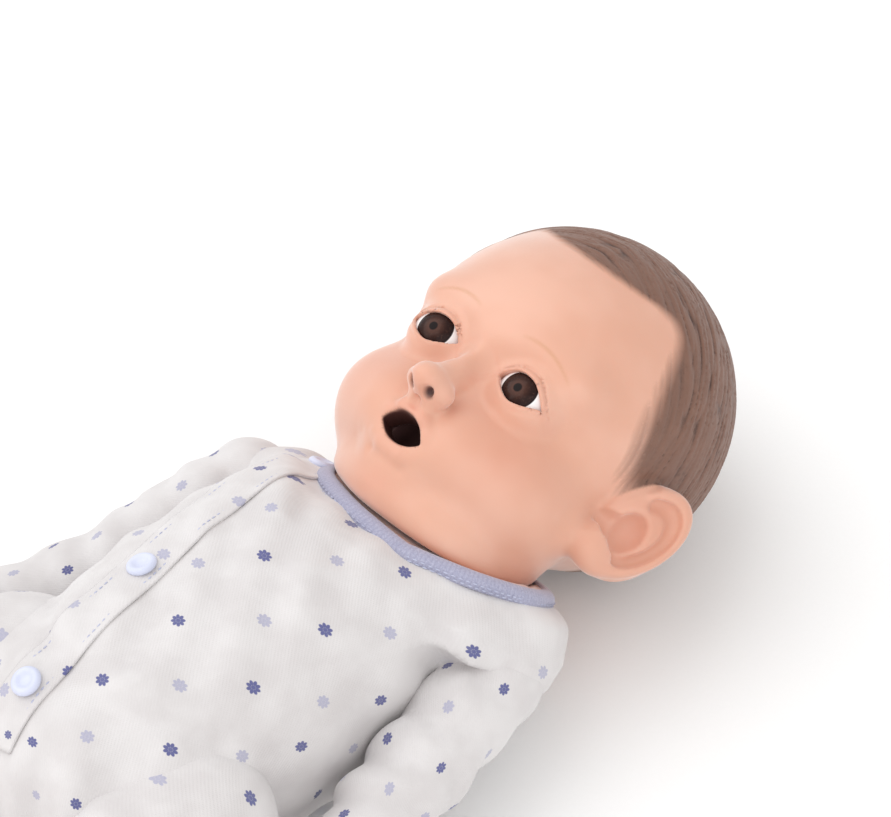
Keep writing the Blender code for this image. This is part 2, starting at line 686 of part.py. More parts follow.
def main_board(torso):
    half = BOARD_SIZE / 2
    board = box("main_board", -half, half, BOARD_CENTRE)
    for i, (low, high) in enumerate((
            ((-8, -6, 0), (8, 8, 3)), ((13, 4, 0), (21, 12, 5)), ((-22, -16, 0), (-14, 14, 4)),
            ((8, -18, 0), (20, -10, 6)))):
        fuse(board, box(f"component_{i}", low, high, BOARD_CENTRE))
    finish(board, torso, "board_green")
    can = cylinder("tilt_sensor", 3.2, 1.2, 11, BOARD_CENTRE + Vector((17, -1, 0)), sides=14)
    finish(can, torso, "steel")


def speaker(torso):
    front = SPEAKER + Vector((0, 0, SPEAKER_FRONT_Z))
    frame = turned("speaker_frame", (
        (20, 0), (20, -1.5), (17.5, -2), (12.6, -9.6), (12.6, -11), (4, -11), (4, -9.4), (11, -9.4),
        (16, -1.8), (16, 0)), front, None, 16)
    finish(frame, torso, "steel")
    cone = turned("speaker_cone", (
        (15.6, -0.4), (15.6, -1.3), (10, -7), (3.4, -8.4), (0, -8.4), (0, -7.2), (3.2, -7), (9, -5.4),
        (14, -0.4)),
        front, None, 16)
    finish(cone, torso, "dark_plastic")
    magnet = cylinder("speaker_magnet", 11, -17, -11.4, front, sides=24)
    finish(magnet, torso, "steel")
    bends = ((12, -16, 42), (16, -18, 52), (15, -14, 60), (13.5, -12, 66))
    lead = smooth_line([(bend, LEAD_R) for bend in bends], 3)
    finish(tube("speaker_lead", *lead, 6), torso, "wire_red")


def sensors(torso, button, switch):
    face = Vector((0, 0, front_height(TUMMY_BUTTON.y, 0) - 1.6))
    press = turned("tummy_button", (
        (0, 0), (7.5, 0), (9.0, -0.7), (9.0, -4.6), (10.8, -4.6), (10.8, -6), (0, -6)),
        TUMMY_BUTTON + face, None, 18)
    finish(press, button, "white_plastic")
    mount = box("tummy_switch", (-3, -3, -12), (3, 3, -8), TUMMY_BUTTON + face)
    fuse(mount, box("tummy_board", (-11, -8, -13.5), (11, 8, -11.8), TUMMY_BUTTON + face))
    finish(mount, torso, "board_green")
    ear = cylinder("microphone", 4.5, 72, 75, (0, 24, 0), sides=14)
    finish(ear, torso, "steel")

    knob = box("power_switch_knob", (-5.6, -1.9, BACK_Z + 0.3), (-1.0, 1.9, 8.4), SWITCH)
    finish(knob, switch, "dark_plastic")
    case = box("power_switch_case", (-8, -4, 9), (8, 4, 14), SWITCH)
    finish(case, torso, "steel")


def torso_screws(torso):
    for i, (x, y) in enumerate(SCREW_SPOTS, 1):
        screw = turned(f"torso_screw_{i}", ((0, 7), (2.9, 7), (2.9, 9.1), (1.4, 9.1), (1.4, 58), (0, 59.5)),
                       (x, y, 0), None, 8)
        finish(screw, torso, "steel")


# ---------------------------------------------------------------- the doll

make_materials()
torso = pivot("torso")
head = pivot("head_joint", NECK, neck_turn(), torso)
left_arm = pivot("left_arm_joint", SHOULDER, parent=torso)
right_arm = pivot("right_arm_joint", Vector((-SHOULDER.x, SHOULDER.y, SHOULDER.z)), parent=torso)
left_leg = pivot("left_leg_joint", HIP, parent=torso)
right_leg = pivot("right_leg_joint", Vector((-HIP.x, HIP.y, HIP.z)), parent=torso)
button = pivot("button_joint", TUMMY_BUTTON, parent=torso)
switch = pivot("switch_joint", SWITCH, parent=torso)

torso_shells(torso)
battery_pack(torso)
main_board(torso)
speaker(torso)
sensors(torso, button, switch)
torso_screws(torso)
romper(torso)
snaps(torso)
neck_plug(torso)
head_pieces(head)
arm_set(left_arm, right_arm)
leg_set(left_leg, right_leg)
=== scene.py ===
"""The looks of the interactive baby doll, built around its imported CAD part."""
import json
import math

import bpy
import numpy as np
from mathutils import Matrix, Vector


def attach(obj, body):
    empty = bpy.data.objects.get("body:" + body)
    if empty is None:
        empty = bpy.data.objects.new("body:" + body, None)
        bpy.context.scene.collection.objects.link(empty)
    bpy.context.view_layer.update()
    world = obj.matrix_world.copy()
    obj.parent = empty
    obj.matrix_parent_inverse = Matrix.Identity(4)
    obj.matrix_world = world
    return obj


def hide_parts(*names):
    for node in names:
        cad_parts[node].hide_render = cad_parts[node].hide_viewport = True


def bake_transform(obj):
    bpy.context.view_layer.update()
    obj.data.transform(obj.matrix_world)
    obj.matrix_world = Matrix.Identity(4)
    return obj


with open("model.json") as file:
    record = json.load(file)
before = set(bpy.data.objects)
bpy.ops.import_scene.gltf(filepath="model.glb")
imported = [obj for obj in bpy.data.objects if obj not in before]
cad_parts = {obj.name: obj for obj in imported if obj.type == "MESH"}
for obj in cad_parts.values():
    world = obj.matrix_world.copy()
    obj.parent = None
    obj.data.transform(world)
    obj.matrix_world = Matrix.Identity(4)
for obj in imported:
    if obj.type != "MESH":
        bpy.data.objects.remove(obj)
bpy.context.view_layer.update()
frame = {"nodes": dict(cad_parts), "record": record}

MM = 0.001
SIDES = (("left", 1), ("right", -1))

# The head's own frame: origin between the eyes, +X its left, +Y to the crown, +Z forwards.
HEAD_FLEX = math.radians(25)
EYES_MIDDLE = np.array((0, 94.65, 104.9))
HEAD_AXES = np.array((
    (1, 0, 0),
    (0, math.cos(HEAD_FLEX), -math.sin(HEAD_FLEX)),
    (0, math.sin(HEAD_FLEX), math.cos(HEAD_FLEX)),
))
CRANIUM = np.array((0, 17.0, -62.0))
CRANIUM_HALF = np.array((54.5, 56.2, 59.5))
EYE = np.array((18.5, 0, -11.0))
EYE_R = 11.0
IRIS_R = 6.2
MOUTH_Y = -32.4
MOUTH_HALF = 8.3
LINING_R = 9.0
EAR = np.array((57, -6.9, -49.8))
WHORL = np.array((0, 0.64, -0.77))
COMBED_ROUND = np.array((0, -0.42, 0.91))

# The neckline is a plane that the head turns square to.
NECK = np.array((0, 68.1, 39.35))
NECK_UP = np.array((0, 0.71934, 0.69466))
NECK_FRONT = np.array((0, -0.69466, 0.71934))
NECK_LEVEL = 76.3
LID_LEVEL = 80.4
LID_TILT = 0.2
LID_TILT_FROM = 22
CHIN_LEVEL = 84.9
COLLAR_CENTRE = NECK + 10.5 * np.array((1, 0, 0)) + 9.5 * NECK_FRONT
COLLAR_HALF = (41.5, 34)

# The body, in the row frame.
TORSO_CENTRE = np.array((0, -6, 44.5))
TORSO_HALF = np.array((44.5, 92, 41.5))
BACK_DEPTH = 52
PELVIS_HALF_WIDTH = 39
CHEST_SLOPE = 0.0042
CLOTH = 3.3
CLOTH_THICK = 0.8
CLOTH_STEP = 2.8
SHOULDER = np.array((49, 50, 42))
FLOOR = 0.15
ARM_LINE = (((57.5, 47, 37.5), 12.2), ((60, 30, 36.5), 12.4), ((63, 10, 33), 12.3), ((66, -8, 30), 11.8),
            ((71.5, -24, 29), 11.0), ((77, -40, 30), 9.2), ((80.5, -52, 31), 8.0))
LEG_LINE = (((40.5, -68, 44), 24.0), ((44.5, -86, 47), 22.0), ((48, -104, 49), 19.0), ((50, -120, 48), 17.0),
            ((50, -136, 42), 16.5), ((49, -153, 34), 14.5), ((48, -168, 28), 12.0))
SLEEVE_ROOT = 46
LEG_ROOT = 19
PLACKET_TOP = np.array((-32, 62))
PLACKET_BOTTOM = np.array((-5.5, -98))
PLACKET_WIDTH = 15
DASH_SHARE = 0.62
THREAD_R = 0.24
NECK_SKIN_GAP = 0.9
NECK_SKIN_THICK = 1.4
SNAPS = ((-32.5, 57.5), (-17.4, -26), (-9.1, -76))


# ---------------------------------------------------------------- solid fields, in millimetres

def smooth_min(a, b, k):
    """The union of two fields, rounded over about k where they meet."""
    h = np.clip(0.5 + 0.5 * (b - a) / k, 0, 1)
    return b + (a - b) * h - k * h * (1 - h)


def smooth_max(a, b, k):
    """The part that two fields share, rounded in the same way."""
    return -smooth_min(-a, -b, k)


def turn_of(x=0, y=0, z=0):
    """A rotation in degrees about X, then Y, then Z, as a numpy matrix."""
    turn = (Matrix.Rotation(math.radians(z), 3, "Z") @ Matrix.Rotation(math.radians(y), 3, "Y")
            @ Matrix.Rotation(math.radians(x), 3, "X"))
    return np.array(turn)


def ellipsoid(p, centre, half, turn=None):
    """About the distance to an ellipsoid, negative inside it."""
    q = p - np.asarray(centre, float)
    if turn is not None:
        q = q @ turn
    half = np.asarray(half, float)
    k0 = np.linalg.norm(q / half, axis=1)
    k1 = np.linalg.norm(q / half**2, axis=1) + 1e-9
    return k0 * (k0 - 1) / k1


def capsule(p, a, b, ra, rb):
    """A rod from a to b whose radius goes from ra to rb."""
    a, b = np.asarray(a, float), np.asarray(b, float)
    line = b - a
    t = np.clip((p - a) @ line / (line @ line), 0, 1)
    return np.linalg.norm(p - a - t[:, None] * line, axis=1) - (ra + (rb - ra) * t)


def chain(p, knots, k=2.0, grow=0.0):
    """Rods through the knots, each (point, radius), joined smoothly."""
    d = None
    for (a, ra), (b, rb) in zip(knots, knots[1:]):
        rod = capsule(p, a, b, ra + grow, rb + grow)
        d = rod if d is None else smooth_min(d, rod, k)
    return d


def bump(p, centre, size):
    """1 at the centre, falling to 0 over about size in each direction."""
    q = (p - np.asarray(centre, float)) / np.asarray(size, float)
    return np.exp(-(q**2).sum(axis=1))


def ridge(p, a, b, height, width):
    """A soft ridge of cloth or skin along the line from a to b."""
    return height * np.exp(-((capsule(p, a, b, 0, 0) / width) ** 2))


def mirrored(p):
    """The points as seen by a form that is the same on both sides."""
    m = p.copy()
    m[:, 0] = np.abs(m[:, 0])
    return m


def surface_of(field, low, high, step, finer=1, settle=3):
    """(points, quads) of the field's zero surface, by surface nets, then refined onto it."""
    axes = [np.arange(a, b + step, step) for a, b in zip(low, high)]
    grid = np.stack(np.meshgrid(*axes, indexing="ij"), -1)
    values = field(grid.reshape(-1, 3)).reshape(grid.shape[:3])
    n = [len(a) - 1 for a in axes]
    total, count = np.zeros((*n, 3)), np.zeros(n)

    def block(corner):
        return values[tuple(slice(c, c + m) for c, m in zip(corner, n))]

    for corner in np.ndindex(2, 2, 2):
        for axis in range(3):
            if corner[axis]:
                continue
            other = np.array(corner)
            other[axis] = 1
            a, b = block(corner), block(tuple(other))
            cross = (a < 0) != (b < 0)
            t = a[cross] / (a[cross] - b[cross])
            spot = np.repeat(np.array(corner, float)[None], len(t), 0)
            spot[:, axis] += t
            total[cross] += spot
            count[cross] += 1
    cells = np.argwhere(count > 0)
    index = np.full(n, -1)
    index[tuple(cells.T)] = np.arange(len(cells))
    points = np.asarray(low) + step * (cells + total[tuple(cells.T)] / count[tuple(cells.T)][:, None])
    quads = []
    for axis in range(3):
        u, v = (axis + 1) % 3, (axis + 2) % 3
        first = [slice(1, m) for m in n]
        second = [slice(1, m) for m in n]
        first[axis], second[axis] = slice(0, n[axis]), slice(1, n[axis] + 1)
        a, b = values[tuple(first)], values[tuple(second)]
        for outward in (True, False):
            hit = (a < 0) & (b >= 0) if outward else (a >= 0) & (b < 0)
            spots = np.argwhere(hit)
            spots[:, u] += 1
            spots[:, v] += 1
            ring = []
            for du, dv in ((-1, -1), (0, -1), (0, 0), (-1, 0)):
                cell = spots.copy()
                cell[:, u] += du
                cell[:, v] += dv
                ring.append(index[tuple(cell.T)])
            face = np.stack(ring, 1)
            quads.append(face if outward else face[:, ::-1])
    quads = np.concatenate(quads)
    for _ in range(finer):
        points = settled(field, points, step)
        points, quads = split(points, quads)
    for _ in range(settle):
        points = settled(field, points, step)
    return points, quads


def gradient(field, points, reach=0.05):
    """The field's slope at each point."""
    found = np.empty_like(points)
    for axis in range(3):
        shift = np.zeros(3)
        shift[axis] = reach
        found[:, axis] = (field(points + shift) - field(points - shift)) / (2 * reach)
    return found


def settled(field, points, step):
    """The points moved onto the field's zero surface, by no more than half a step."""
    slope = gradient(field, points)
    size = (slope**2).sum(axis=1)[:, None] + 1e-9
    move = -field(points)[:, None] * slope / size
    length = np.linalg.norm(move, axis=1)[:, None] + 1e-9
    return points + move * np.minimum(1, 0.5 * step / length)


def split(points, quads):
    """Each quad split in four."""
    n = len(points)
    ends = np.stack([quads, np.roll(quads, -1, axis=1)], -1).reshape(-1, 2)
    edges, where = np.unique(np.sort(ends, axis=1), axis=0, return_inverse=True)
    middle = n + where.reshape(-1, 4)
    centre = n + len(edges) + np.arange(len(quads))
    points = np.concatenate([points, points[edges].mean(axis=1), points[quads].mean(axis=1)])
    rows = [np.stack([quads[:, i], middle[:, i], centre, middle[:, i - 1]], 1) for i in range(4)]
    return points, np.concatenate(rows)


def kept(points, quads, keep):
    """The quads whose four corners are all kept, with the unused points dropped."""
    quads = quads[keep[quads].all(axis=1)]
    used, quads = np.unique(quads, return_inverse=True)
    return points[used], quads.reshape(-1, 4)


def mesh_piece(name, points, quads, material, values=None):
    """A smooth mesh object from points in millimetres in the row frame."""
    mesh = bpy.data.meshes.new(name)
    mesh.from_pydata((np.asarray(points) * MM).tolist(), [], [list(map(int, q)) for q in quads])
    mesh.validate()
    for key, numbers in (values or {}).items():
        layer = mesh.attributes.new(key, "FLOAT", "POINT")
        layer.data.foreach_set("value", np.asarray(numbers, np.float32))
    mesh.shade_smooth()
    mesh.materials.append(material)
    obj = bpy.data.objects.new(name, mesh)
    bpy.context.scene.collection.objects.link(obj)
    return obj


def from_head(points):
    """Points from the head's frame to the row frame."""
    return np.asarray(points, float) @ HEAD_AXES.T + EYES_MIDDLE


def in_head(points):
    """Points from the row frame to the head's frame."""
    return (np.asarray(points, float) - EYES_MIDDLE) @ HEAD_AXES


def flipped(points, quads, sign):
    """The mesh for this side of the doll: as it is, or mirrored with its faces turned round."""
    if sign > 0:
        return points, quads
    return points * (-1, 1, 1), quads[:, ::-1]


def thickened(obj, thickness):
    """The sheet given a thickness inwards, applied to its mesh."""
    shell = obj.modifiers.new("thickness", "SOLIDIFY")
    shell.thickness = thickness * MM
    shell.offset = -1
    graph = bpy.context.evaluated_depsgraph_get()
    mesh = bpy.data.meshes.new_from_object(obj.evaluated_get(graph))
    obj.modifiers.clear()
    obj.data = mesh


# ---------------------------------------------------------------- materials

def srgb(r, g, b):
    """A colour given as 0-255 screen values, as linear."""
    def line(c):
        c /= 255
        return c / 12.92 if c <= 0.04045 else ((c + 0.055) / 1.055) ** 2.4
    return (line(r), line(g), line(b), 1)


class Look:
    """Short names for building one material's nodes. Lengths in its textures are millimetres."""

    def __init__(self, name):
        self.material = bpy.data.materials.new(name)
        self.material.use_nodes = True
        self.tree = self.material.node_tree
        self.shader = self.tree.nodes["Principled BSDF"]
        place = self.add("ShaderNodeTexCoord").outputs["Object"]
        in_mm = self.add("ShaderNodeVectorMath", {0: place, 1: (1 / MM,) * 3}, operation="MULTIPLY")
        self.place = in_mm.outputs[0]

    def add(self, kind, inputs=None, **settings):
        node = self.tree.nodes.new(kind)
        for key, value in settings.items():
            setattr(node, key, value)
        for key, value in (inputs or {}).items():
            self.put(node.inputs[key], value)
        return node

    def put(self, socket, value):
        if hasattr(value, "is_output"):
            self.tree.links.new(value, socket)
        else:
            socket.default_value = value

    def set(self, **values):
        for key, value in values.items():
            self.put(self.shader.inputs[key.replace("_", " ")], value)

    def math(self, operation, a, b=0.0, c=0.0):
        return self.add("ShaderNodeMath", {0: a, 1: b, 2: c}, operation=operation).outputs[0]

    def times(self, a, b):
        return self.math("MULTIPLY", a, b)

    def plus(self, a, b):
        return self.math("ADD", a, b)

    def minus(self, a, b):
        return self.math("SUBTRACT", a, b)

    def mix(self, share, a, b):
        node = self.add("ShaderNodeMix", data_type="RGBA")
        for key, value in ((0, share), (6, a), (7, b)):
            self.put(node.inputs[key], value)
        return node.outputs[2]

    def noise(self, size, detail=3.0, rough=0.5):
        """Cloudy noise whose blotches are about size millimetres across."""
        node = self.add("ShaderNodeTexNoise", {"Scale": 1 / size, "Detail": detail, "Roughness": rough})
        self.put(node.inputs["Vector"], self.place)
        return node.outputs[0]

    def ramp(self, value, low, high, start=0.0, end=1.0):
        node = self.add("ShaderNodeMapRange", {0: value, 1: low, 2: high, 3: start, 4: end})
        node.interpolation_type = "SMOOTHSTEP"
        return node.outputs[0]

    def attribute(self, name):
        return self.add("ShaderNodeAttribute", attribute_name=name).outputs["Fac"]

    def bump(self, height, distance):
        """Relief of distance millimetres."""
        node = self.add("ShaderNodeBump", {"Height": height, "Distance": distance * MM, "Strength": 1.0})
        return node.outputs["Normal"]


def skin_look():
    """Soft vinyl with sprayed blushes, painted shade at the lids, nostrils and mouth walls, and taupe paint
    on the sculpted hair, painted darker in its grooves as shade and lighter on its locks as highlight.
    """
    n = Look("vinyl_skin")
    cloudy = n.noise(26, 2)
    fine = n.noise(1.1, 3, 0.6)
    base = n.mix(n.ramp(cloudy, 0.35, 0.7), srgb(217, 163, 139), srgb(223, 173, 151))
    # Blush, and painted shade along the lid edges and the lid fold, in one channel.
    base = n.mix(n.attribute("blush_and_lid_shade"), base, srgb(206, 134, 110))
    base = n.mix(n.attribute("lips"), base, srgb(218, 142, 122))
    base = n.mix(n.attribute("brow"), base, srgb(196, 142, 104))
    # Painted shade and highlight: the hair paint goes darker down in the grooves between the locks and
    # lighter on top of them.
    strands = n.attribute("strand")
    hair = n.mix(n.ramp(strands, 0.25, 0.85), srgb(60, 36, 29), srgb(120, 86, 71))
    hair = n.mix(n.times(n.ramp(n.noise(7, 3), 0.4, 0.75), 0.25), hair, srgb(138, 100, 82))
    painted, dark = n.attribute("hair"), n.attribute("dark")
    base = n.mix(painted, base, hair)
    # Painted shade: dark brown in the nostrils and on the mouth hole's walls.
    base = n.mix(dark, base, srgb(78, 46, 42))
    n.set(Base_Color=base, Roughness=n.ramp(fine, 0.2, 0.8, 0.40, 0.5),
          Subsurface_Weight=0.1, Subsurface_Scale=0.003, Normal=n.bump(fine, 0.02),
          Sheen_Weight=n.times(0.6, n.minus(1.0, n.math("MAXIMUM", painted, dark))),
          Sheen_Roughness=0.4)
    n.shader.inputs["Subsurface Radius"].default_value = (1.0, 0.4, 0.25)
    return n.material


def eye_look():
    """A dark brown iris with a pupil, on a pale eyeball, under a clear coat."""
    n = Look("eye_acrylic")
    off = n.attribute("off")
    streaks = n.noise(0.7, 4, 0.7)
    iris = n.mix(n.ramp(off, 1.2, 4.8), srgb(80, 52, 44), srgb(40, 23, 21))
    iris = n.mix(n.times(n.ramp(streaks, 0.5, 0.7), 0.3), iris, srgb(96, 66, 54))
    iris = n.mix(n.ramp(off, IRIS_R - 1.0, IRIS_R - 0.2), iris, srgb(34, 22, 22))
    iris = n.mix(n.ramp(off, 1.7, 1.2), iris, srgb(24, 15, 15))
    white = n.mix(n.ramp(off, IRIS_R, 9.5), srgb(240, 238, 238), srgb(214, 204, 204))
    n.set(Base_Color=n.mix(n.ramp(off, IRIS_R - 0.12, IRIS_R + 0.12), iris, white), Roughness=0.06,
          Specular_IOR_Level=0.12)
    return n.material


FLOWER_PITCH = (25.0, 15.5)
FLOWER_R = 2.1
PETALS = 8


def from_cell_middle(n, value, pitch, shift, wander):
    """Millimetres from the middle of the pattern's cell, which lies up to half of wander off its place."""
    away = n.times(n.minus(n.math("FRACT", value), 0.5), pitch)
    return n.plus(away, n.times(n.minus(shift, 0.5), wander))


def length(n, a, b):
    return n.math("SQRT", n.plus(n.times(a, a), n.times(b, b)))


def flowers(n):
    """(share of dark print, share of pale print) for rows of little eight-petalled flowers."""
    u, v = n.attribute("u"), n.attribute("v")
    pitch_u, pitch_v = FLOWER_PITCH
    row = n.math("FLOOR", n.math("DIVIDE", v, pitch_v))
    shifted = n.plus(n.math("DIVIDE", u, pitch_u), n.times(row, 0.5))
    column = n.math("FLOOR", shifted)
    cell = n.add("ShaderNodeCombineXYZ", {0: column, 1: row}).outputs[0]
    chance = n.add("ShaderNodeTexWhiteNoise", {0: cell}, noise_dimensions="3D").outputs
    part = n.add("ShaderNodeSeparateColor", {0: chance[1]}).outputs
    away_u = from_cell_middle(n, shifted, pitch_u, part[0], 5.0)
    away_v = from_cell_middle(n, n.math("DIVIDE", v, pitch_v), pitch_v, part[1], 4.0)
    far = length(n, away_u, away_v)
    angle = n.plus(n.math("ARCTAN2", away_v, away_u), n.times(part[2], 6.0))
    wedge = 2 * math.pi / PETALS
    turned = n.times(n.minus(n.math("FRACT", n.math("DIVIDE", angle, wedge)), 0.5), wedge)
    out = n.times(far, n.math("COSINE", turned))
    aside = n.times(far, n.math("SINE", turned))
    petal = length(n, n.times(n.minus(out, 0.62 * FLOWER_R), 0.68), aside)
    petal_r = 0.34 * FLOWER_R
    petals = n.ramp(petal, petal_r - 0.3, petal_r - 0.1, 1.0, 0.0)
    ink = n.math("MAXIMUM", petals, n.ramp(far, 0.5, 0.8, 1.0, 0.0))
    dark = n.math("COMPARE", n.math("MODULO", n.math("ABSOLUTE", row), 2.0), 0.0, 0.5)
    return n.times(ink, dark), n.times(ink, n.minus(1.0, dark))


def cotton_look():
    """Fine printed jersey with a diagonal rib, a little darker in the knit's valleys as painted shade."""
    n = Look("romper_cotton")
    u, v = n.attribute("u"), n.attribute("v")
    slub = n.noise(1.4, 3, 0.65)
    lean = n.plus(n.times(u, 0.82), n.times(v, 0.57))
    cross = n.minus(n.times(v, 0.82), n.times(u, 0.57))
    rib = n.math("SINE", n.plus(n.times(lean, 7.5), n.times(slub, 2.4)))
    loop = n.math("SINE", n.times(cross, 11.0))
    knit = n.plus(n.times(rib, 0.6), n.times(loop, 0.25))
    base = n.mix(n.ramp(n.noise(14, 2), 0.3, 0.7), srgb(207, 203, 203), srgb(217, 214, 214))
    # Painted shade: slightly darker where the knit's height is low, in its valleys.
    base = n.mix(n.ramp(knit, -0.9, 0.2, 0.07, 0.0), base, srgb(190, 182, 181))
    dark, pale = flowers(n)
    base = n.mix(n.times(dark, n.ramp(slub, 0.1, 0.5, 0.8, 0.95)), base, srgb(82, 86, 140))
    base = n.mix(n.times(pale, 0.8), base, srgb(166, 166, 190))
    fuzz = n.noise(0.35, 2, 0.7)
    n.set(Base_Color=base, Roughness=0.92, Sheen_Weight=0.25, Sheen_Roughness=0.5,
          Normal=n.bump(n.plus(knit, n.times(fuzz, 1.5)), 0.03))
    return n.material


def rib_look():
    """Pale blue rib knit with a heathered yarn, darker between the ribs as painted shade."""
    n = Look("trim_rib")
    yarn = n.noise(0.5, 3, 0.7)
    base = n.mix(n.ramp(yarn, 0.3, 0.75), srgb(150, 151, 176), srgb(182, 182, 202))
    ribs = n.attribute("rib")
    # Painted shade: darker in the valleys between the ribs, where the neckband and cuffs sink in.
    base = n.mix(n.ramp(ribs, 0.0, 0.5, 0.3, 0.0), base, srgb(138, 134, 158))
    n.set(Base_Color=base, Roughness=0.9, Sheen_Weight=0.3, Normal=n.bump(yarn, 0.06))
    return n.material


def moulded_look(name, low, high, roughness=0.4, metallic=0.0, grain=0.01, worn=0.04, **more):
    """Moulded plastic or plain metal: slightly uneven colour and gloss, and a fine surface grain."""
    n = Look(name)
    cloudy = n.noise(9, 3)
    fine = n.noise(0.6, 4, 0.6)
    n.set(Base_Color=n.mix(n.ramp(cloudy, 0.3, 0.7), low, high), Metallic=metallic,
          Roughness=n.ramp(fine, 0.3, 0.7, roughness - worn, roughness + worn),
          Normal=n.bump(fine, grain), **more)
    return n.material


def board_look():
    """Green solder mask over faint copper tracks."""
    n = Look("board_green")
    bricks = n.add("ShaderNodeTexBrick", {"Vector": n.place, "Scale": 0.12, "Mortar Size": 0.03})
    tracks = bricks.outputs["Fac"]
    base = n.mix(n.times(tracks, 0.5), srgb(22, 92, 58), srgb(60, 130, 84))
    n.set(Base_Color=base, Roughness=0.35, Coat_Weight=0.4, Normal=n.bump(tracks, 0.03))
    return n.material


SKIN = skin_look()
EYES = eye_look()
PRINT = cotton_look()
RIB = rib_look()
THREAD = moulded_look("thread", srgb(178, 182, 206), srgb(192, 196, 218), 0.7)
SNAP = moulded_look("snap_plastic", srgb(200, 205, 226), srgb(212, 216, 236), 0.36)
CARRIED = {
    "skin_vinyl": SKIN,
    "snap_plastic": SNAP,
    "mouth_silicone": moulded_look("mouth_silicone", srgb(98, 66, 64), srgb(106, 72, 68), 0.7),
    "white_plastic": moulded_look("white_plastic", srgb(228, 226, 220), srgb(238, 236, 231), 0.38),
    "dark_plastic": moulded_look("dark_plastic", srgb(38, 38, 41), srgb(50, 50, 54), 0.42, grain=0.02),
    "board_green": board_look(),
    "steel": moulded_look("steel", srgb(168, 168, 172), srgb(190, 190, 194), 0.26, metallic=1.0),
    "battery_wrap": moulded_look("battery_wrap", srgb(44, 66, 112), srgb(52, 78, 128), 0.3, Coat_Weight=0.5),
    "wire_red": moulded_look("wire_red", srgb(170, 32, 30), srgb(190, 44, 38), 0.35),
}


def dress_carried_nodes():
    """The CAD nodes that stay in view each take the finish of their record slot."""
    slots = {part["node"]: part["material_slot"] for part in frame["record"]["subparts"]}
    for name, node in frame["nodes"].items():
        look = CARRIED.get(slots[name])
        if look and not node.hide_render:
            node.data.materials[0] = look


# ---------------------------------------------------------------- head

# (middle, half size, rounding) of the forms of a face: forehead, jaw, two of the cheek, mouth, chin and brow.
FACE_FORMS = (
    ((0, 16, -28), (37, 30, 29.5), 12),
    ((0, -24, -38), (44, 32, 35.5), 12),
    ((23, -24.5, -32), (20.5, 19.5, 26), 10),
    ((22, -24, -24), (17.5, 16, 20.5), 8),
    ((11, -26, -12), (15, 15, 17), 9),
    ((0, -45, -12.5), (11.5, 9.5, 11), 8),
    ((18, 13, -12), (17, 7, 9), 9),
)


def face_masses(m):
    """The head without its ears, lids, lips and hair."""
    d = ellipsoid(m, CRANIUM, CRANIUM_HALF)
    for middle, half, rounding in FACE_FORMS:
        d = smooth_min(d, ellipsoid(m, middle, half), rounding)
    return d


def jowls(p, d):
    """The full jaw, which lies over towards the left, where the collar holds it up."""
    d = smooth_min(d, ellipsoid(p, (6, -49, -30), (34, 15, 27)), 8)
    return smooth_min(d, ellipsoid(p, (22, -42, -44), (18, 12, 20)), 9)


def nose(m, d):
    """The bridge, tip and wings, with a nostril pressed in."""
    d = smooth_min(d, capsule(m, (0, 2, -5.5), (0, -12, 5.4), 4.0, 5.0), 6)
    d = smooth_min(d, ellipsoid(m, (0, -16, 11.2), (6.2, 5.4, 7.0)), 4)
    d = smooth_min(d, ellipsoid(m, (5.4, -16.9, 8.4), (3.5, 3.6, 4.4)), 2.2)
    d = smooth_min(d, ellipsoid(m, (0, -21.5, 5), (5.5, 4, 5)), 4)
    hole = ellipsoid(m, (3.4, -20.8, 14.4), (1.7, 3.0, 4.2), turn_of(x=34, z=-16))
    return smooth_max(d, -hole, 0.6)


def lid_edges(m):
    """(above the upper lid's edge, below the lower lid's edge), each positive outside the eye's opening."""
    q = m - EYE
    across = np.clip(np.abs(q[:, 0] - 0.2) / 9.4, 0, 1.5)
    lean = q[:, 1] + 0.07 * q[:, 0]
    return lean - 5.3 * (1 - across**2.2), -4.7 * (1 - across**1.7) - lean


def lids(m, d):
    """Eyelids drawn over the eyeball, with a thin fold above each."""
    q = m - EYE
    r = np.linalg.norm(q, axis=1)
    d = smooth_max(d, -ellipsoid(m, (17.5, 1.5, 3.5), (12.5, 7.5, 5.5)), 7)
    d = smooth_min(d, r - 12.5, 3.2)
    above, below = lid_edges(m)
    front = np.clip((q[:, 2] - 1) / 3, 0, 1)
    fold = np.exp(-((above - 2.1 - 0.05 * q[:, 0]) / 0.5) ** 2)
    fold = fold * np.clip((12 - np.abs(q[:, 0] - 1)) / 3, 0, 1)
    under = np.exp(-((below - 2.2) / 0.7) ** 2)
    under = under * np.clip((q[:, 0] + 1) / 6, 0, 1) * np.clip((13 - q[:, 0]) / 4, 0, 1)
    d = d + front * (0.85 * fold + 0.3 * under)
    opening = np.maximum(smooth_max(above, below, 0.8) * 0.85, 3 - q[:, 2])
    return smooth_max(d, -opening, 0.8)


def mouth_edges(x, y):
    """Positive outside the mouth's opening: a low arch over a shallower curve, pointed at the corners."""
    across = np.clip(np.abs(x) / MOUTH_HALF, 0, 1.6)
    upper = MOUTH_Y + 4.9 - 5.4 * across**2.5
    lower = MOUTH_Y - 4.3 + 3.8 * across**2.2
    return smooth_max(y - upper, lower - y, 0.8)


LIP_RIM = (((0, -26.1, 6.4), 1.8), ((4, -26.3, 5.8), 1.9), ((7.8, -28.9, 3.6), 1.6), ((9.9, -32.8, 0.4), 1.1),
           ((7.6, -36.2, 0.4), 1.7), ((3.8, -38.1, 0.8), 2.2), ((0, -38.5, 1.0), 2.3))


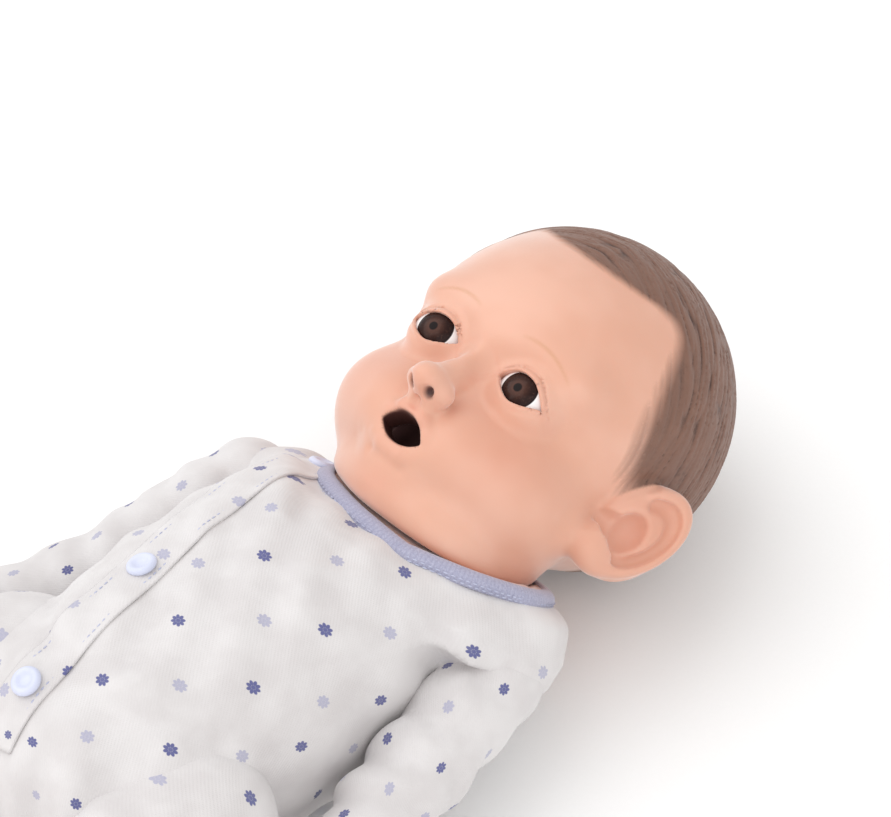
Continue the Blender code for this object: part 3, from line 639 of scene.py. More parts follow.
def lips(m, d):
    """A full rounded rim round the open mouth, and the pocket behind it for the lining."""
    d = smooth_min(d, ellipsoid(m, (0, -32.5, -6.5), (14.5, 13, 10.8)), 6)
    d = smooth_min(d, chain(m, LIP_RIM, 1.6), 2.4)
    d = smooth_max(d, -capsule(m, (0, -22.0, 9.4), (0, -24.2, 9.0), 0.9, 1.4), 2.2)
    d = d + ridge(m, (12.4, -31.5, -0.5), (13.4, -37, -3), 1.0, 1.8)
    d = d + ridge(m, (-6, -41.6, -1.5), (6, -41.6, -1.5), 1.0, 2.4)
    hole = np.maximum(mouth_edges(m[:, 0], m[:, 1]) * 0.9, -26 - m[:, 2])
    d = smooth_max(d, -hole, 1.0)
    pocket = np.maximum(np.hypot(m[:, 0], m[:, 1] - MOUTH_Y) - LINING_R - 0.3,
                        np.maximum(m[:, 2] + 5, -28 - m[:, 2]))
    return smooth_max(d, -pocket, 0.5)


def ear(m, d, back, stands_out):
    """A broad ear at an angle to the head: a rolled rim, a furrow in it, and a bowl that opens forwards."""
    m = m + (0.3 * back, 0, back)
    lay = turn_of(y=-stands_out) @ turn_of(x=-10)
    q = (m - EAR) @ lay
    x, y, z = q.T
    z = z + 0.16 * y - 1.0
    half_y, half_z = 18.6, 12.6
    spin, size = np.arctan2(y / half_y, z / half_z), np.hypot(y / half_y, z / half_z)
    d = smooth_min(d, ellipsoid(m, EAR + (-6, 0, 1), (9, 13, 8)), 5)
    d = smooth_min(d, ellipsoid(m, EAR, (4.2, half_y, half_z), lay), 3)
    rim = np.hypot((size - 0.88) * 15, x - 2.6) - 2.5
    front = np.clip((np.cos(spin - 0.1) - 0.7) / 0.2, 0, 1)
    d = smooth_min(d, rim + 4 * front, 2.4)
    d = smooth_min(d, ellipsoid(m, EAR + (-3.6, -12.5, 6.5), (4.2, 5.6, 6.8)), 5)
    d = smooth_min(d, capsule(m, EAR + (-13, -13.5, 10), EAR + (-5, -12.5, 6), 6.0, 4.0), 7)
    furrow = np.hypot((size - 0.66) * 14, x - 3.8) - 2.0
    d = smooth_max(d, -(furrow + 3 * front + 2.5 * np.clip(-np.sin(spin) - 0.6, 0, 1)), 1.6)
    bowl = (q - np.array((5.0, -2.8, 3.2))) / np.array((7.0, 7.6, 6.0))
    d = smooth_max(d, -(np.linalg.norm(bowl, axis=1) - 1) * 6, 1.8)
    return smooth_max(d, -ellipsoid(m, EAR + (-4.0, -3.5, 9.4), (6, 3.8, 3.4)), 1.8)


# How far the paint comes down from the crown, in degrees, going round from the forehead to the nape.
HAIRLINE = ((0, 108), (15, 105), (24, 99), (30, 94), (34, 91.5), (39, 94), (47, 103),
            (60, 112), (76, 118), (86, 118), (97, 115), (112, 108), (140, 97), (180, 92))


def angles_about(p, axis):
    """(degrees from the axis, degrees round it from the forehead, signed), seen from the skull's middle."""
    q = p - CRANIUM
    q = q / np.linalg.norm(q, axis=1)[:, None]
    axis = axis / np.linalg.norm(axis)
    forward = np.array((0, -axis[2], axis[1]))
    polar = np.degrees(np.arccos(np.clip(q @ axis, -1, 1)))
    return polar, np.degrees(np.arctan2(q[:, 0], q @ forward))


def hair_share(p):
    """0 on bare skin, 1 where the scalp is painted, with a brushed edge."""
    polar, spin = angles_about(p, WHORL)
    line = sum(np.interp(np.abs(spin) + shift, *zip(*HAIRLINE)) for shift in (-5, -2, 2, 5)) / 4
    to_side = np.clip((np.abs(spin) - 20) / 30, 0.12, 1)
    brushed = 6 * (strand_height(p) - 0.6) * to_side
    return np.clip(0.5 + (line + brushed - polar) / (2.5 + 6.5 * to_side), 0, 1)


def strand_height(p):
    """Sculpted locks combed sideways over the top and down past the temples: 0 in a groove, 1 on a lock."""
    polar, spin = (np.radians(a) for a in angles_about(p, COMBED_ROUND))
    down = np.abs(np.abs(spin) - math.pi)
    lie = polar + 0.16 * down + 0.02 * np.sin(5 * down + 9 * polar)
    height = 0
    for count, share, wander in ((17, 0.3, 1.1), (41, 0.4, 1.5), (89, 0.3, 1.9)):
        drift = wander * np.sin(3.7 * down + count + 2.4 * np.sin(0.37 * count * lie + 1.3 * down))
        height = height + share * np.minimum(1, 1.5 * np.abs(np.sin(count * lie + drift))) ** 0.7
    return height


def head_field(p):
    """The whole head, cut flat over the neckband and where it lies on the floor."""
    m = mirrored(p)
    d = lips(m, lids(m, nose(m, jowls(p, face_masses(m)))))
    near_ear = np.clip(2 * bump(m, EAR, (9, 17, 12)), 0, 1)
    d = d - hair_share(p) * (1 - near_ear) * (1.2 * strand_height(p) - 0.5)
    d = np.where(p[:, 0] > 0, ear(m, d, 0, 40), ear(m, d, 9, 12))
    world = from_head(p)
    level = world @ NECK_UP
    d = smooth_max(d, CHIN_LEVEL - level, 3)
    d = smooth_max(d, FLOOR - world[:, 2], 3)
    neck = np.linalg.norm(np.cross(world - NECK, NECK_UP), axis=1) - 20.8
    return smooth_min(d, np.maximum(neck, np.maximum(NECK_LEVEL + 1 - level, level - 96)), 3)


def head_piece():
    """The vinyl head, with its paint and blushes, and painted shade at the lids, nostrils and mouth, as
    values at each point.
    """
    points, quads = surface_of(head_field, (-70, -62, -124), (70, 80, 20), 1.3)
    m = mirrored(points)
    blush_and_lid_shade = 0.35 * bump(m, (27, -20, -6), (16, 12, 18)) + 0.3 * bump(m, (0, -19, 13), (5, 5, 6))
    blush_and_lid_shade += 0.35 * bump(m, (0, -50, -6), (9, 6, 9)) + 0.35 * bump(m, EAR, (9, 20, 14))
    # Painted shade: the lid edges and the fold above each eye are darkened in the blush colour, as the shade
    # of the lids and the fold.
    above, below = lid_edges(m)
    at_eye = bump(m, EYE + (0, 0, 11), (13, 9, 9))
    blush_and_lid_shade += at_eye * (0.5 * np.exp(-(above / 1.0) ** 2) + 0.35 * np.exp(-(below / 0.9) ** 2)
                       + 0.4 * np.exp(-((above - 2.1) / 0.5) ** 2))
    to_rim = np.clip(chain(m, LIP_RIM, 1.0, -1.2), 0, None)
    # Painted shade: the nostrils and the walls of the mouth's hole are coloured dark brown, as the shade that
    # falls in them.
    nostril = np.clip(2 * bump(m, (3.4, -19.2, 12.2), (1.5, 2.2, 2.6)) - 0.4, 0, 1)
    inside = np.clip((0.5 - mouth_edges(m[:, 0], m[:, 1])) / 0.5, 0, 1)
    inside = np.maximum(inside, np.clip((-3.5 - m[:, 2]) / 2, 0, 1))
    inside = inside * (np.hypot(m[:, 0], m[:, 1] - MOUTH_Y) < LINING_R + 0.8)
    share = np.clip((m[:, 0] - 9) / 21, 0, 1)
    arc = m[:, 1] - (14.0 + 1.8 * np.sin(share * math.pi) - 3.4 * share**2)
    brow = np.exp(-(arc / 0.6) ** 2) * np.sin(share * math.pi) ** 0.5 * (m[:, 2] > -24)
    off_skull = np.clip((ellipsoid(points, CRANIUM, CRANIUM_HALF) - 1.4) / 0.8, 0, 1)
    on_ear = off_skull * np.clip(6 * bump(m, EAR - (0, 0, 4), (18, 20, 20)), 0, 1)
    hair = hair_share(points) * (1 - on_ear)
    head = mesh_piece("head_skin", from_head(points), quads, SKIN, {
        "hair": hair, "strand": strand_height(points), "blush_and_lid_shade": np.clip(blush_and_lid_shade, 0, 1),
        "lips": 0.6 * np.exp(-(to_rim / 1.3) ** 2), "brow": brow * 0.55,
        "dark": np.clip(np.maximum(nostril, inside), 0, 1)})
    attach(head, "head")
    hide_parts("head_shell")


def eye_field(p):
    """An eyeball with a shallow raised cornea."""
    dome = np.linalg.norm(p - np.array((0, 0, 4.0)), axis=1) - 7.4
    return smooth_min(np.linalg.norm(p, axis=1) - EYE_R, dome, 0.8)


def eyeballs():
    points, quads = surface_of(eye_field, (-12.5,) * 3, (12.5,) * 3, 1.2)
    off = np.where(points[:, 2] > 0, np.hypot(points[:, 0], points[:, 1]), 2 * EYE_R)
    for side, sign in SIDES:
        spots = points + EYE * (sign, 1, 1) + (0.3 * sign, 0.2, 0)
        eye = mesh_piece(f"{side}_eyeball", from_head(spots), quads, EYES, {"off": off})
        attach(eye, "head")
        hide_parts(f"{side}_eye")


# (radius, depth) down the cup's inside, over its lip and down its outside.
LINING_SIDE = ((0, -20.6), (6.0, -19.0), (7.6, -17.0), (7.9, -14.0), (7.9, -5.9), (8.3, -5.4), (8.8, -5.4),
               (LINING_R, -5.9), (LINING_R, -20.6), (7.6, -22.0), (0, -22.2))


def mouth_lining():
    """The soft cup behind the lips that takes a dummy or the tip of a bottle."""
    turn = np.linspace(0, 2 * math.pi, 64, endpoint=False)
    rings = np.array([(r * np.cos(turn), MOUTH_Y + r * np.sin(turn), np.full_like(turn, z))
                      for r, z in LINING_SIDE])
    points, quads = ring_mesh(rings.transpose(2, 0, 1), closed_profile=False)
    lining = mesh_piece("mouth_lining", from_head(points), quads, CARRIED["mouth_silicone"])
    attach(lining, "head")
    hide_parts("mouth_liner")


# ---------------------------------------------------------------- romper

def torso_form(p, grow):
    """The torso's rounded box, flatter in front towards the neck."""
    q = p - TORSO_CENTRE
    half = TORSO_HALF + grow
    flatter = 1 - CHEST_SLOPE * np.clip(q[:, 1] + TORSO_CENTRE[1], 0, 75) ** 2 / TORSO_HALF[2]
    z = np.where(q[:, 2] > 0, q[:, 2] / (half[2] * flatter), q[:, 2] / (BACK_DEPTH + grow))
    narrow = np.clip((-q[:, 1] / half[1] - 0.1) / 0.6, 0, 1)
    x = np.abs(q[:, 0]) / (half[0] + (PELVIS_HALF_WIDTH - TORSO_HALF[0]) * narrow)
    y = np.abs(q[:, 1]) / half[1]
    around = (x**2.44 + np.abs(z) ** 2.44 + 1e-9) ** (1 / 2.44)
    return ((around**3.226 + y**2.857 + 1e-9) ** (1 / 3) - 1) * 40


# (start, end, height, width) of the romper's creases: those of one side, and those that both sides have.
ONE_SIDE_CREASES = (
    ((-34, 44, 66), (-4, 18, 90), 1.6, 4.5),
    ((-38, 30, 62), (-16, -4, 88), 1.3, 4),
    ((38, 38, 66), (16, 8, 90), 1.1, 4),
)
BOTH_SIDES_CREASES = (
    ((44, 22, 46), (34, -30, 66), 1.5, 5),
    ((38, -30, 66), (12, -58, 88), 1.8, 5.5),
    ((36, -44, 70), (14, -66, 86), -1.4, 4.5),
    ((46, -20, 30), (40, -52, 40), 1.4, 5),
    ((10, -74, 80), (22, -92, 62), 1.0, 5),
    ((44, 30, 18), (20, -30, 2), 1.0, 6),
)


def body_folds(p):
    """Creases of loose cotton: from the armpits, over the belly, and where the legs start."""
    m = mirrored(p)
    lift = sum(ridge(p, *crease) for crease in ONE_SIDE_CREASES)
    lift = lift + sum(ridge(m, *crease) for crease in BOTH_SIDES_CREASES)
    x, y, z = p.T
    ripple = np.sin(0.21 * y + 0.11 * x + 1.3 * np.sin(0.07 * x)) * np.sin(0.09 * x - 0.06 * z + 1)
    return 1.25 * lift + 0.75 * ripple + 0.4 * np.sin(0.33 * x + 0.17 * y + 2 * np.sin(0.05 * y))


def lid_level(p):
    """How far up the neck the romper comes: further on the left, where the cheek lies on it."""
    return LID_LEVEL + LID_TILT * np.clip(p[..., 0] - LID_TILT_FROM, 0, 32)


def body_field(p):
    """The outside of the romper's body."""
    m = mirrored(p)
    d = torso_form(p, CLOTH)
    d = smooth_min(d, np.linalg.norm(m - SHOULDER + (2, 0, 1), axis=1) - 14, 8)
    d = smooth_min(d, ellipsoid(p, (46.5, 62, 42), (20.5, 20, 20)), 10)
    d = smooth_min(d, ellipsoid(p, (-41, 56, 37), (16, 16, 14)), 8)
    d = smooth_min(d, np.linalg.norm(m - np.array((38, -66, 44)), axis=1) - 26.6, 10)
    below = lid_level(p) - p @ NECK_UP
    yoke = ((level_in_collar(p) - 1.04) * COLLAR_HALF[1] - 0.8 * np.clip(below, 0, 14)) / 1.3
    d = smooth_min(d, np.maximum(yoke, below - 22), 7)
    d = smooth_max(d, -below, 4)
    return smooth_max(d - body_folds(p), FLOOR - p[:, 2], 4)


def limb_folds(p, knots, count, height):
    """Rings of creases that crowd together where the limb bends."""
    a, b = np.array(knots[0][0], float), np.array(knots[-1][0], float)
    line = b - a
    along = (p - a) @ line / (line @ line)
    x, z = p[:, 0], p[:, 2]
    wander = 0.9 * np.sin(0.11 * z + 0.05 * x) + 0.5 * np.sin(0.23 * z - 0.13 * x + 2)
    rings = np.sin(2 * math.pi * count * along + wander * 2)
    return height * rings * np.exp(-(((along - 0.55) / 0.42) ** 2))


def sleeve_field(p):
    """The left sleeve's outside."""
    knots = (((44, 46, 36), 12.0),) + ARM_LINE[:-1] + (((78.4, -46, 30.4), 8.8),)
    d = chain(p, knots, 5, 2.0)
    d = d - limb_folds(p, knots, 5.5, 0.9) - ridge(p, (58, 34, 54), (70, 12, 40), 1.2, 3.5)
    return smooth_max(d, FLOOR - p[:, 2], 3)


def leg_field(p):
    """The outside of the left leg's sleeve."""
    knots = (((37, -60, 44), 24.0),) + LEG_LINE[:-1] + (((48.6, -160, 31.5), 13.6),)
    d = chain(p, knots, 6, CLOTH + 0.8)
    d = d - limb_folds(p, knots, 6, 1.1) - ridge(p, (30, -84, 66), (54, -92, 62), 1.5, 4)
    d = d - ridge(p, (34, -118, 56), (60, -124, 44), 1.6, 4.5)
    d = d + ridge(p, (36, -131, 54), (60, -134, 44), 1.2, 4)
    return smooth_max(d, FLOOR - p[:, 2], 3)


def level_in_collar(p):
    """Below 1 inside the collar's ring, seen square to the neckline."""
    q = p - COLLAR_CENTRE
    return np.hypot(q[:, 0] / COLLAR_HALF[0], q @ NECK_FRONT / COLLAR_HALF[1])


def body_print_place(points):
    """(u, v) in millimetres over the body, unrolled round it from the middle of the front."""
    q = points - TORSO_CENTRE
    around = np.arctan2(q[:, 0], q[:, 2] + 8)
    seat = np.clip((-76 - q[:, 1]) / 12, 0, 1)
    in_from_edge = np.clip(42 - np.hypot(q[:, 0], q[:, 2]), 0, None)
    return 46 * around + 7, q[:, 1] + 0.25 * (q[:, 2] - 40) * (1 - seat) - seat * in_from_edge


def limb_print_place(points, knots):
    """(u, v) in millimetres round and along a limb."""
    a, b = np.array(knots[0][0], float), np.array(knots[-1][0], float)
    line = (b - a) / np.linalg.norm(b - a)
    q = points - a
    side = np.cross(line, (0, 0, 1))
    side /= np.linalg.norm(side)
    return 17 * np.arctan2(q @ side, q @ np.cross(side, line)), q @ line


def cloth_sheet(name, points, quads, place, nodes):
    """One cut of the romper as a thin printed mesh."""
    sheet = mesh_piece(name, points, quads, PRINT, {"u": place[0], "v": place[1]})
    thickened(sheet, CLOTH_THICK)
    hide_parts(*nodes)
    return sheet


def romper_body():
    """The body of the romper, open at the neck."""
    points, quads = surface_of(body_field, (-76, -112, -4), (76, 100, 106), CLOTH_STEP)
    in_neck = (level_in_collar(points) < 1.0) & (points @ NECK_UP > lid_level(points) - 4)
    points, quads = kept(points, quads, ~in_neck)
    sheet = cloth_sheet("romper_cloth", points, quads, body_print_place(points),
                        ("romper_body",))
    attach(sheet, "torso")


def limb_cloth(cloth, node, field, low, high, root, line):
    """A romper sleeve for each side, open inside the body on a plane square to the joint's axis."""
    points, quads = surface_of(field, low, high, CLOTH_STEP)
    points, quads = kept(points, quads, points[:, 0] > root)
    place = limb_print_place(points, line)
    for side, sign in SIDES:
        spots, faces = flipped(points, quads, sign)
        sheet = cloth_sheet(f"{side}_{cloth}_cloth", spots, faces, place, (f"{side}_{node}",))
        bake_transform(sheet)


def sleeves():
    limb_cloth("sleeve", "sleeve", sleeve_field, (24, -66, -4), (100, 76, 66), SLEEVE_ROOT, ARM_LINE)
    limb_cloth("leg", "leg_sleeve", leg_field, (4, -182, -4), (80, -26, 84), LEG_ROOT, LEG_LINE)


def ring_mesh(rings, closed_profile=True):
    """(points, quads) of a tube that goes round: rings is (around, profile, 3)."""
    n, m = rings.shape[:2]
    i, j = np.meshgrid(np.arange(n), np.arange(m if closed_profile else m - 1), indexing="ij")
    i2, j2 = (i + 1) % n, (j + 1) % m
    quads = np.stack([i * m + j, i2 * m + j, i2 * m + j2, i * m + j2], -1).reshape(-1, 4)
    return rings.reshape(-1, 3), quads


def collar_point(angle, out, up):
    """A point of the collar: out from its ring and up from the neckline's lid."""
    ring = np.stack([COLLAR_HALF[0] * np.cos(angle), COLLAR_HALF[1] * np.sin(angle)], -1)
    away = np.stack([np.cos(angle) / COLLAR_HALF[0], np.sin(angle) / COLLAR_HALF[1]], -1)
    away /= np.linalg.norm(away, axis=-1)[..., None]
    flat = ring + out[..., None] * away
    centre = COLLAR_CENTRE + (LID_LEVEL - NECK_LEVEL) * NECK_UP
    flat = centre + flat[..., :1] * np.array((1, 0, 0)) + flat[..., 1:] * NECK_FRONT
    rise = up + lid_level(flat) - LID_LEVEL
    return flat + rise[..., None] * NECK_UP


# (out, up) round the neckband's section, from its outer foot over its top and down its inner face.
COLLAR_SIDE = ((2.9, -1.4), (3.3, -0.2), (3.2, 1.0), (2.5, 2.2), (1.3, 3.2), (0, 3.8), (-1.4, 3.9),
               (-2.3, 3.3), (-2.0, 2.3), (-0.9, 1.4), (0.2, 0.4), (0.9, -0.9), (1.6, -1.8))


def neckband():
    """The ribbed neckband, a closed round section, with two rows of stitches."""
    count, ribs = 720, 170
    angle = np.linspace(0, 2 * math.pi, count, endpoint=False)
    side = np.array(COLLAR_SIDE)
    a = np.repeat(angle[:, None], len(side), 1)
    rib = 0.5 + 0.5 * np.cos(ribs * a)
    out = side[:, 0] + 0.1 * (rib - 0.5) * np.sign(side[:, 0] - 0.5)
    out = out + 0.25 * np.sin(5 * a + 1) + 0.2 * np.sin(11 * a)
    up = np.repeat(side[None, :, 1], count, 0) + 0.2 * np.sin(3 * a + 2)
    points, quads = ring_mesh(collar_point(a, out, up))
    band = mesh_piece("neckband_rib", points, quads, RIB, {"rib": rib.ravel()})
    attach(band, "torso")
    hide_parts("neckband")

    def seam(t, row):
        level = np.full_like(t, (-0.6, 0.5)[row]) + 0.2 * np.sin(3 * t + 2)
        return collar_point(t, np.full_like(t, (3.45, 3.4)[row]), level)
    stitches("neckband_stitches", seam, 2, 108)


def neck_skin():
    """The body's vinyl inside the neckband, which comes up close under the jaw."""
    angle = np.linspace(0, 2 * math.pi, 180, endpoint=False)
    out = np.array((-0.9, -2.5, -5, -8, -12, -17))
    a = np.repeat(angle[:, None], len(out), 1)
    top = collar_point(a, np.repeat(out[None], len(angle), 0), np.full(a.shape, 3.0)).reshape(-1, 3)
    for _ in range(12):
        too_near = np.clip(NECK_SKIN_GAP - head_field(in_head(top)), 0, None)
        top = top - too_near[:, None] * NECK_UP
    top = top.reshape(*a.shape, 3)
    rings = np.concatenate([top, (top - NECK_SKIN_THICK * NECK_UP)[:, ::-1]], 1)
    points, quads = ring_mesh(rings)
    skin = mesh_piece("neck_skin", points, quads, SKIN)
    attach(skin, "torso")


def stitches(name, line, rows, count):
    """Rows of short thread dashes; line(t, row) gives points for t from 0 to a full turn."""
    rings, sides = [], 5
    steps = np.linspace(0, 1, 4)
    for row in range(rows):
        for i in range(count):
            start = (i + 0.5 * (row % 2)) * 2 * math.pi / count
            t = start + steps * DASH_SHARE * 2 * math.pi / count
            middle = line(t, row)
            way = middle[-1] - middle[0]
            way /= np.linalg.norm(way)
            side = np.cross(way, (0.3, 0.2, 0.9))
            side /= np.linalg.norm(side)
            other = np.cross(way, side)
            thick = THREAD_R * np.array((0.35, 1, 1, 0.35))
            turn = np.linspace(0, 2 * math.pi, sides, endpoint=False)
            ring = np.cos(turn)[None, :, None] * side + np.sin(turn)[None, :, None] * other
            rings.append(middle[:, None] + ring * thick[:, None, None])
    dashes = np.array(rings)
    n = len(steps) * sides
    i, j = np.meshgrid(np.arange(len(steps) - 1), np.arange(sides), indexing="ij")
    one = np.stack([i * sides + j, i * sides + (j + 1) % sides, (i + 1) * sides + (j + 1) % sides,
                    (i + 1) * sides + j], -1).reshape(-1, 4)
    quads = (one[None] + n * np.arange(len(dashes))[:, None, None]).reshape(-1, 4)
    thread = mesh_piece(name, dashes.reshape(-1, 3), quads, THREAD)
    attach(thread, "torso")


def height_over(x, y):
    """Height of the romper's front surface over (x, y)."""
    low, high = np.full(np.shape(x), 45.0), np.full(np.shape(x), 110.0)
    for _ in range(16):
        middle = (low + high) / 2
        inside = body_field(np.stack([x, y, middle], -1).reshape(-1, 3)).reshape(np.shape(x)) < 0
        low, high = np.where(inside, middle, low), np.where(inside, high, middle)
    return low


def placket_place(along, across):
    """A point on the front strip: along from 0 at the neck to 1, across in millimetres from its middle."""
    line = PLACKET_BOTTOM - PLACKET_TOP
    way = line / np.linalg.norm(line)
    spot = PLACKET_TOP + along[..., None] * line + across[..., None] * np.array((-way[1], way[0]))
    return spot[..., 0], spot[..., 1]


def placket():
    """The lapped front strip, stitched down each side."""
    along, across = np.meshgrid(np.linspace(0.0, 0.965, 150), np.linspace(-1, 1, 22), indexing="ij")
    x, y = placket_place(along, across * PLACKET_WIDTH / 2)
    lift = 0.25 * np.clip((1 - np.abs(across)) / 0.15, 0, 1) ** 0.5
    lift = lift + 0.35 * np.sin(along * 40 + 2 * across) * np.exp(-((np.abs(across) - 0.6) / 0.4) ** 2)
    points = np.stack([x, y, height_over(x, y) + lift], -1)
    n, m = along.shape
    i, j = np.meshgrid(np.arange(n - 1), np.arange(m - 1), indexing="ij")
    quads = np.stack([i * m + j + 1, (i + 1) * m + j + 1, (i + 1) * m + j, i * m + j], -1).reshape(-1, 4)
    points, quads = kept(points.reshape(-1, 3), quads, level_in_collar(points.reshape(-1, 3)) > 1.02)
    u, v = body_print_place(points)
    strip = mesh_piece("placket_cloth", points, quads, PRINT, {"u": u + 9, "v": v + 5})
    thickened(strip, CLOTH_THICK)
    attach(strip, "torso")
    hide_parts("front_placket")

    def seam(t, row):
        along = t / (2 * math.pi) * 0.86 + 0.09
        across = np.full_like(t, (PLACKET_WIDTH / 2 - 2.2) * (1, -1)[row])
        x, y = placket_place(along, across)
        return np.stack([x, y, height_over(x, y) + 0.85], -1)
    stitches("placket_stitches", seam, 2, 62)


def snaps():
    """Press studs: a domed cap with a rolled edge and a shallow dish in its middle."""
    profile = ((0, 1.15), (1.2, 1.15), (1.9, 1.35), (2.6, 1.9), (3.3, 2.1), (4.0, 1.95), (4.6, 1.4),
               (4.8, 0.7), (4.5, 0.1), (3.6, -0.2), (0, -0.2))
    turn = np.linspace(0, 2 * math.pi, 48, endpoint=False)
    for i, (x, y) in enumerate(SNAPS, 1):
        spot = np.array((x, y, 0.0))
        spot[2] = height_over(spot[0], spot[1]) + 0.9
        up = gradient(body_field, spot[None])[0]
        up /= np.linalg.norm(up)
        side = np.cross(up, (0, 1, 0))
        side /= np.linalg.norm(side)
        other = np.cross(up, side)
        rings = np.array([spot + r * (np.cos(turn)[:, None] * side + np.sin(turn)[:, None] * other) + h * up
                          for r, h in profile]).transpose(1, 0, 2)
        points, quads = ring_mesh(rings, closed_profile=False)
        cap = mesh_piece(f"snap_cap_{i}", points, quads[:, ::-1], SNAP)
        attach(cap, "torso")
        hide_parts(f"romper_snap_{i}")


def rib_cuff(name, centre, lay, profile, side, body, node):
    """A ribbed knit cuff round a wrist or an ankle; the profile is (radius, along)."""
    count, ribs = 300, 50
    angle = np.linspace(0, 2 * math.pi, count, endpoint=False)
    profile = np.array(profile)
    a = np.repeat(angle[:, None], len(profile), 1)
    rib = 0.5 + 0.5 * np.cos(ribs * a)
    radius = profile[:, 0] + 0.45 * (rib - 0.5) + 0.25 * np.sin(3 * a + 1)
    along = np.repeat(profile[None, :, 1], count, 0)
    local = np.stack([radius * np.cos(a), radius * np.sin(a), along], -1)
    points, quads = ring_mesh(local @ lay.T + np.array(centre))
    if np.linalg.det(lay) * signed_volume(points, quads) < 0:
        quads = quads[:, ::-1]
    points[:, 2] = np.maximum(points[:, 2], FLOOR)
    points, quads = flipped(points, quads, side)
    cuff = mesh_piece(name, points, quads, RIB, {"rib": rib.ravel()})
    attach(cuff, body)
    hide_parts(node)


def signed_volume(points, quads):
    """Six times the volume, negative where the faces point inwards."""
    a, b, c, d = (points[quads[:, i]] for i in range(4))
    return float((a * np.cross(b, c)).sum() + (a * np.cross(c, d)).sum())


# (radius, along the limb) round each cuff's section.
WRIST_SIDE = ((12.9, -5.2), (13.1, -2), (12.6, 1.5), (11.9, 4.4),
              (10.6, 5.0), (10.2, 4.0), (10.6, 0), (11.6, -4.6))
ANKLE_SIDE = ((18.2, 6.6), (18.0, 3), (17.0, -1), (15.8, -4.8),
              (14.4, -5.6), (13.6, -4.6), (14.6, 0), (16.6, 5.6))


def cuffs():
    wrist = turn_of(z=16) @ turn_of(x=90)
    ankle = turn_of(x=90 + 24 - 180)
    for side, sign in SIDES:
        rib_cuff(f"{side}_wrist_rib", (79.2, -48.4, 30.6), wrist,
                 WRIST_SIDE, sign, f"{side}_arm", f"{side}_cuff")
        rib_cuff(f"{side}_ankle_rib", (48.5, -161.2, 30.8), ankle,
                 ANKLE_SIDE, sign, f"{side}_leg", f"{side}_ankle_cuff")


# ---------------------------------------------------------------- hands and feet

FINGERS = ((40.5, 12.5, 3.5), (34.8, 16, 3.7), (29.2, 15, 3.6), (24.0, 11, 3.3))


def finger_line(z, reach):
    """A slightly curled finger: knuckle, two joints and a tip."""
    root = -76
    return ((83.2, -70, z), (84.6, root - reach * 0.2, z), (83.2, root - reach * 0.62, z),
            (79.8, root - reach, z))


THUMB = ((80.5, -58, 39.5), (80.2, -66, 45), (79.4, -73, 47), (78.2, -78.5, 46.6))


def nail(p, tip, way, size):
    """A shallow raised nail on the back of a finger's tip."""
    return 0.35 * np.clip(1.4 * bump(p, np.array(tip) + way, (size * 0.7, size, size * 0.62)), 0, 1) ** 0.5


def arm_field(p):
    """The left forearm and hand."""
    forearm = ARM_LINE[2:]
    d = chain(p, forearm, 4, -0.3)
    d = smooth_min(d, ellipsoid(p, (83.0, -64.5, 32.5), (6.6, 13.5, 11.4)), 5)
    for z, reach, size in FINGERS:
        line = finger_line(z, reach)
        taper = (size, size - 0.1, size - 0.4, size - 0.9)
        d = smooth_min(d, chain(p, tuple(zip(line, taper)), 1.2), 1.1)
        for joint in line[1:3]:
            crease = np.array(joint) + (-size, 0, 0)
            d = d + ridge(p, crease - (0, 0, 2.5), crease + (0, 0, 2.5), 0.35, 0.8)
        d = d - nail(p, line[3], (size * 0.62, 0.8, 0), size)
    thumb = tuple(zip(THUMB, (4.4, 4.2, 3.8, 3.0)))
    d = smooth_min(d, chain(p, thumb, 1.5), 2.0)
    d = d + ridge(p, (80, -52.5, 24), (86, -53.5, 38), 0.5, 1.2)
    return d - nail(p, THUMB[3], (0.8, 0.8, 2.2), 3.0)


TOES = ((42.3, -187, 61.5, 4.9), (47.6, -187.5, 60.6, 3.9), (52.0, -187, 58.8, 3.7), (56.0, -186, 56.4, 3.5),
        (59.4, -184.6, 53.4, 3.2))


def foot_field(p):
    """The left shin and foot."""
    shin = LEG_LINE[4:]
    d = chain(p, shin, 4, -0.2)
    d = smooth_min(d, ellipsoid(p, (47.5, -178, 17.5), (11.8, 14, 14)), 6)
    d = smooth_min(d, ellipsoid(p, (49.5, -183, 39), (12.4, 10, 25), turn_of(y=4, x=4)), 6)
    for x, y, z, size in TOES:
        d = smooth_min(d, ellipsoid(p, (x, y, z), (size, size * 1.05, size * 1.3)), 1.2)
        d = d - nail(p, (x, y, z), (0, size * 0.86, size * 0.7), size * 0.8)
    d = d + ridge(p, (36, -163, 26), (60, -163, 30), 0.6, 1.6)
    d = d + ridge(p, (42, -193, 30), (44, -193, 44), 0.8, 5)
    return smooth_max(d, FLOOR - p[:, 2], 3)


def skin_limbs():
    """The bare parts of both arms and both legs."""
    for piece, field, low, high, step, warm in (
            ("arm", arm_field, (48, -98, 10), (96, 24, 56), 1.3, (80, -92, 32)),
            ("leg", foot_field, (28, -202, -4), (72, -122, 74), 1.9, (50, -190, 58))):
        points, quads = surface_of(field, low, high, step * (1))
        blush_and_lid_shade = 0.55 * bump(points, warm, (22, 16, 22))
        for side, sign in SIDES:
            spots, faces = flipped(points, quads, sign)
            limb = mesh_piece(f"{side}_{piece}_skin", spots, faces, SKIN, {"blush_and_lid_shade": blush_and_lid_shade})
            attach(limb, f"{side}_{piece}")
            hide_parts(f"{side}_{piece}")


# ---------------------------------------------------------------- stage

VIEW_AZ, VIEW_EL = math.radians(46), math.radians(45)
VIEW_DISTANCE = 866
SENSOR_MM = 36
LENS_MM = 3.131313 * SENSOR_MM
EYES_RIGHT_OF_AXIS = 0.0105731
EYES_ABOVE_AXIS = 0.0184567


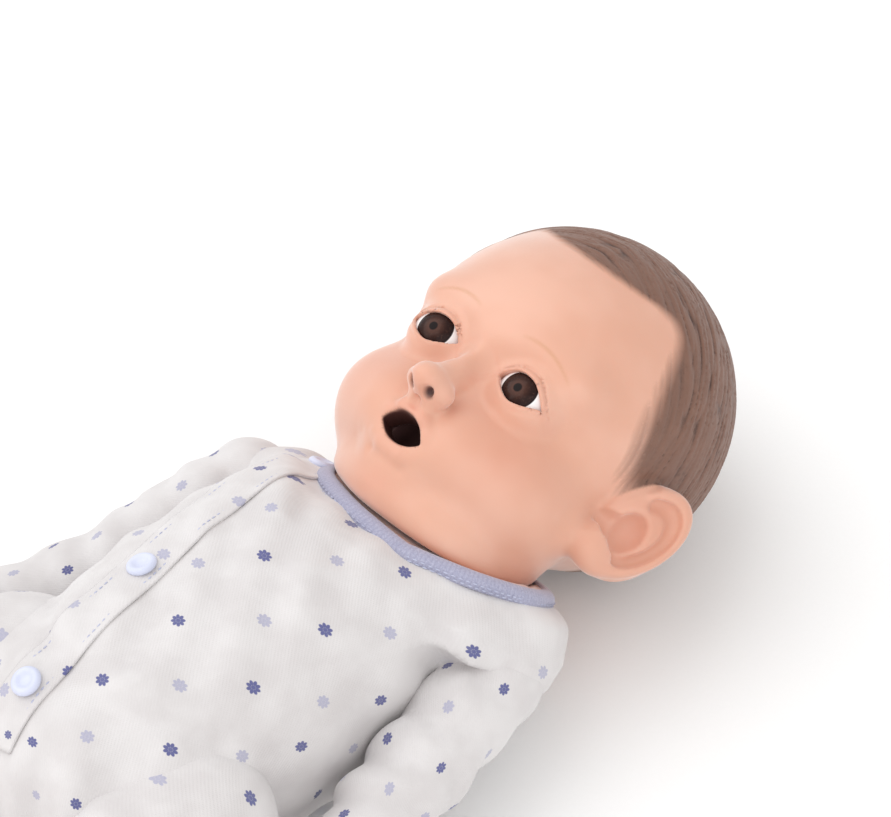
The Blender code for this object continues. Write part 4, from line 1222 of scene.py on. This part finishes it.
def stage():
    """A plain pale floor, a soft sky and the plain view transform."""
    n = Look("floor_paper")
    grain = n.noise(1.5, 4)
    n.set(Base_Color=n.mix(grain, (0.93, 0.93, 0.93, 1), (0.96, 0.96, 0.96, 1)), Roughness=0.95,
          Normal=n.bump(grain, 0.02))
    bpy.ops.mesh.primitive_plane_add(size=8)
    floor = bpy.context.object
    floor.name = "floor"
    floor.data.materials.append(n.material)
    world = bpy.data.worlds.new("studio")
    bpy.context.scene.world = world
    world.use_nodes = True
    sky = world.node_tree.nodes["Background"]
    sky.inputs["Color"].default_value = (1, 0.99, 0.98, 1)
    sky.inputs["Strength"].default_value = 0.85
    bpy.context.scene.view_settings.view_transform = "Standard"


def light(name, spot, size, power, colour=(1, 1, 1)):
    """A soft box aimed at the doll."""
    lamp = bpy.data.lights.new(name, "AREA")
    lamp.size, lamp.energy, lamp.color = size, power, colour
    obj = bpy.data.objects.new(name, lamp)
    bpy.context.scene.collection.objects.link(obj)
    obj.location = spot
    obj.rotation_euler = (Vector((0, 0.05, 0.06)) - Vector(spot)).to_track_quat("-Z", "Y").to_euler()


def camera():
    """A long lens aimed so that the eyes' middle falls where the framing wants it."""
    level = math.cos(VIEW_EL)
    back = Vector((math.sin(VIEW_AZ) * level, -math.cos(VIEW_AZ) * level, math.sin(VIEW_EL)))
    data = bpy.data.cameras.new("camera")
    data.sensor_width = SENSOR_MM
    data.lens = LENS_MM
    data.clip_start, data.clip_end = 0.05, 20
    obj = bpy.data.objects.new("camera", data)
    bpy.context.scene.collection.objects.link(obj)
    aim = (-back).to_track_quat("-Z", "Y").to_matrix().to_4x4()
    aim = aim @ Matrix.Rotation(EYES_RIGHT_OF_AXIS, 4, "Y") @ Matrix.Rotation(-EYES_ABOVE_AXIS, 4, "X")
    obj.matrix_world = Matrix.Translation((Vector(EYES_MIDDLE) + back * VIEW_DISTANCE) * MM) @ aim
    bpy.context.scene.camera = obj


head_piece()
eyeballs()
mouth_lining()
skin_limbs()
romper_body()
sleeves()
neckband()
neck_skin()
placket()
snaps()
cuffs()
dress_carried_nodes()
stage()
light("key", (-1.0, -0.5, 1.5), 2.6, 22, (0.97, 0.985, 1))
light("fill", (1.2, -0.8, 1.0), 2.0, 9)
camera()
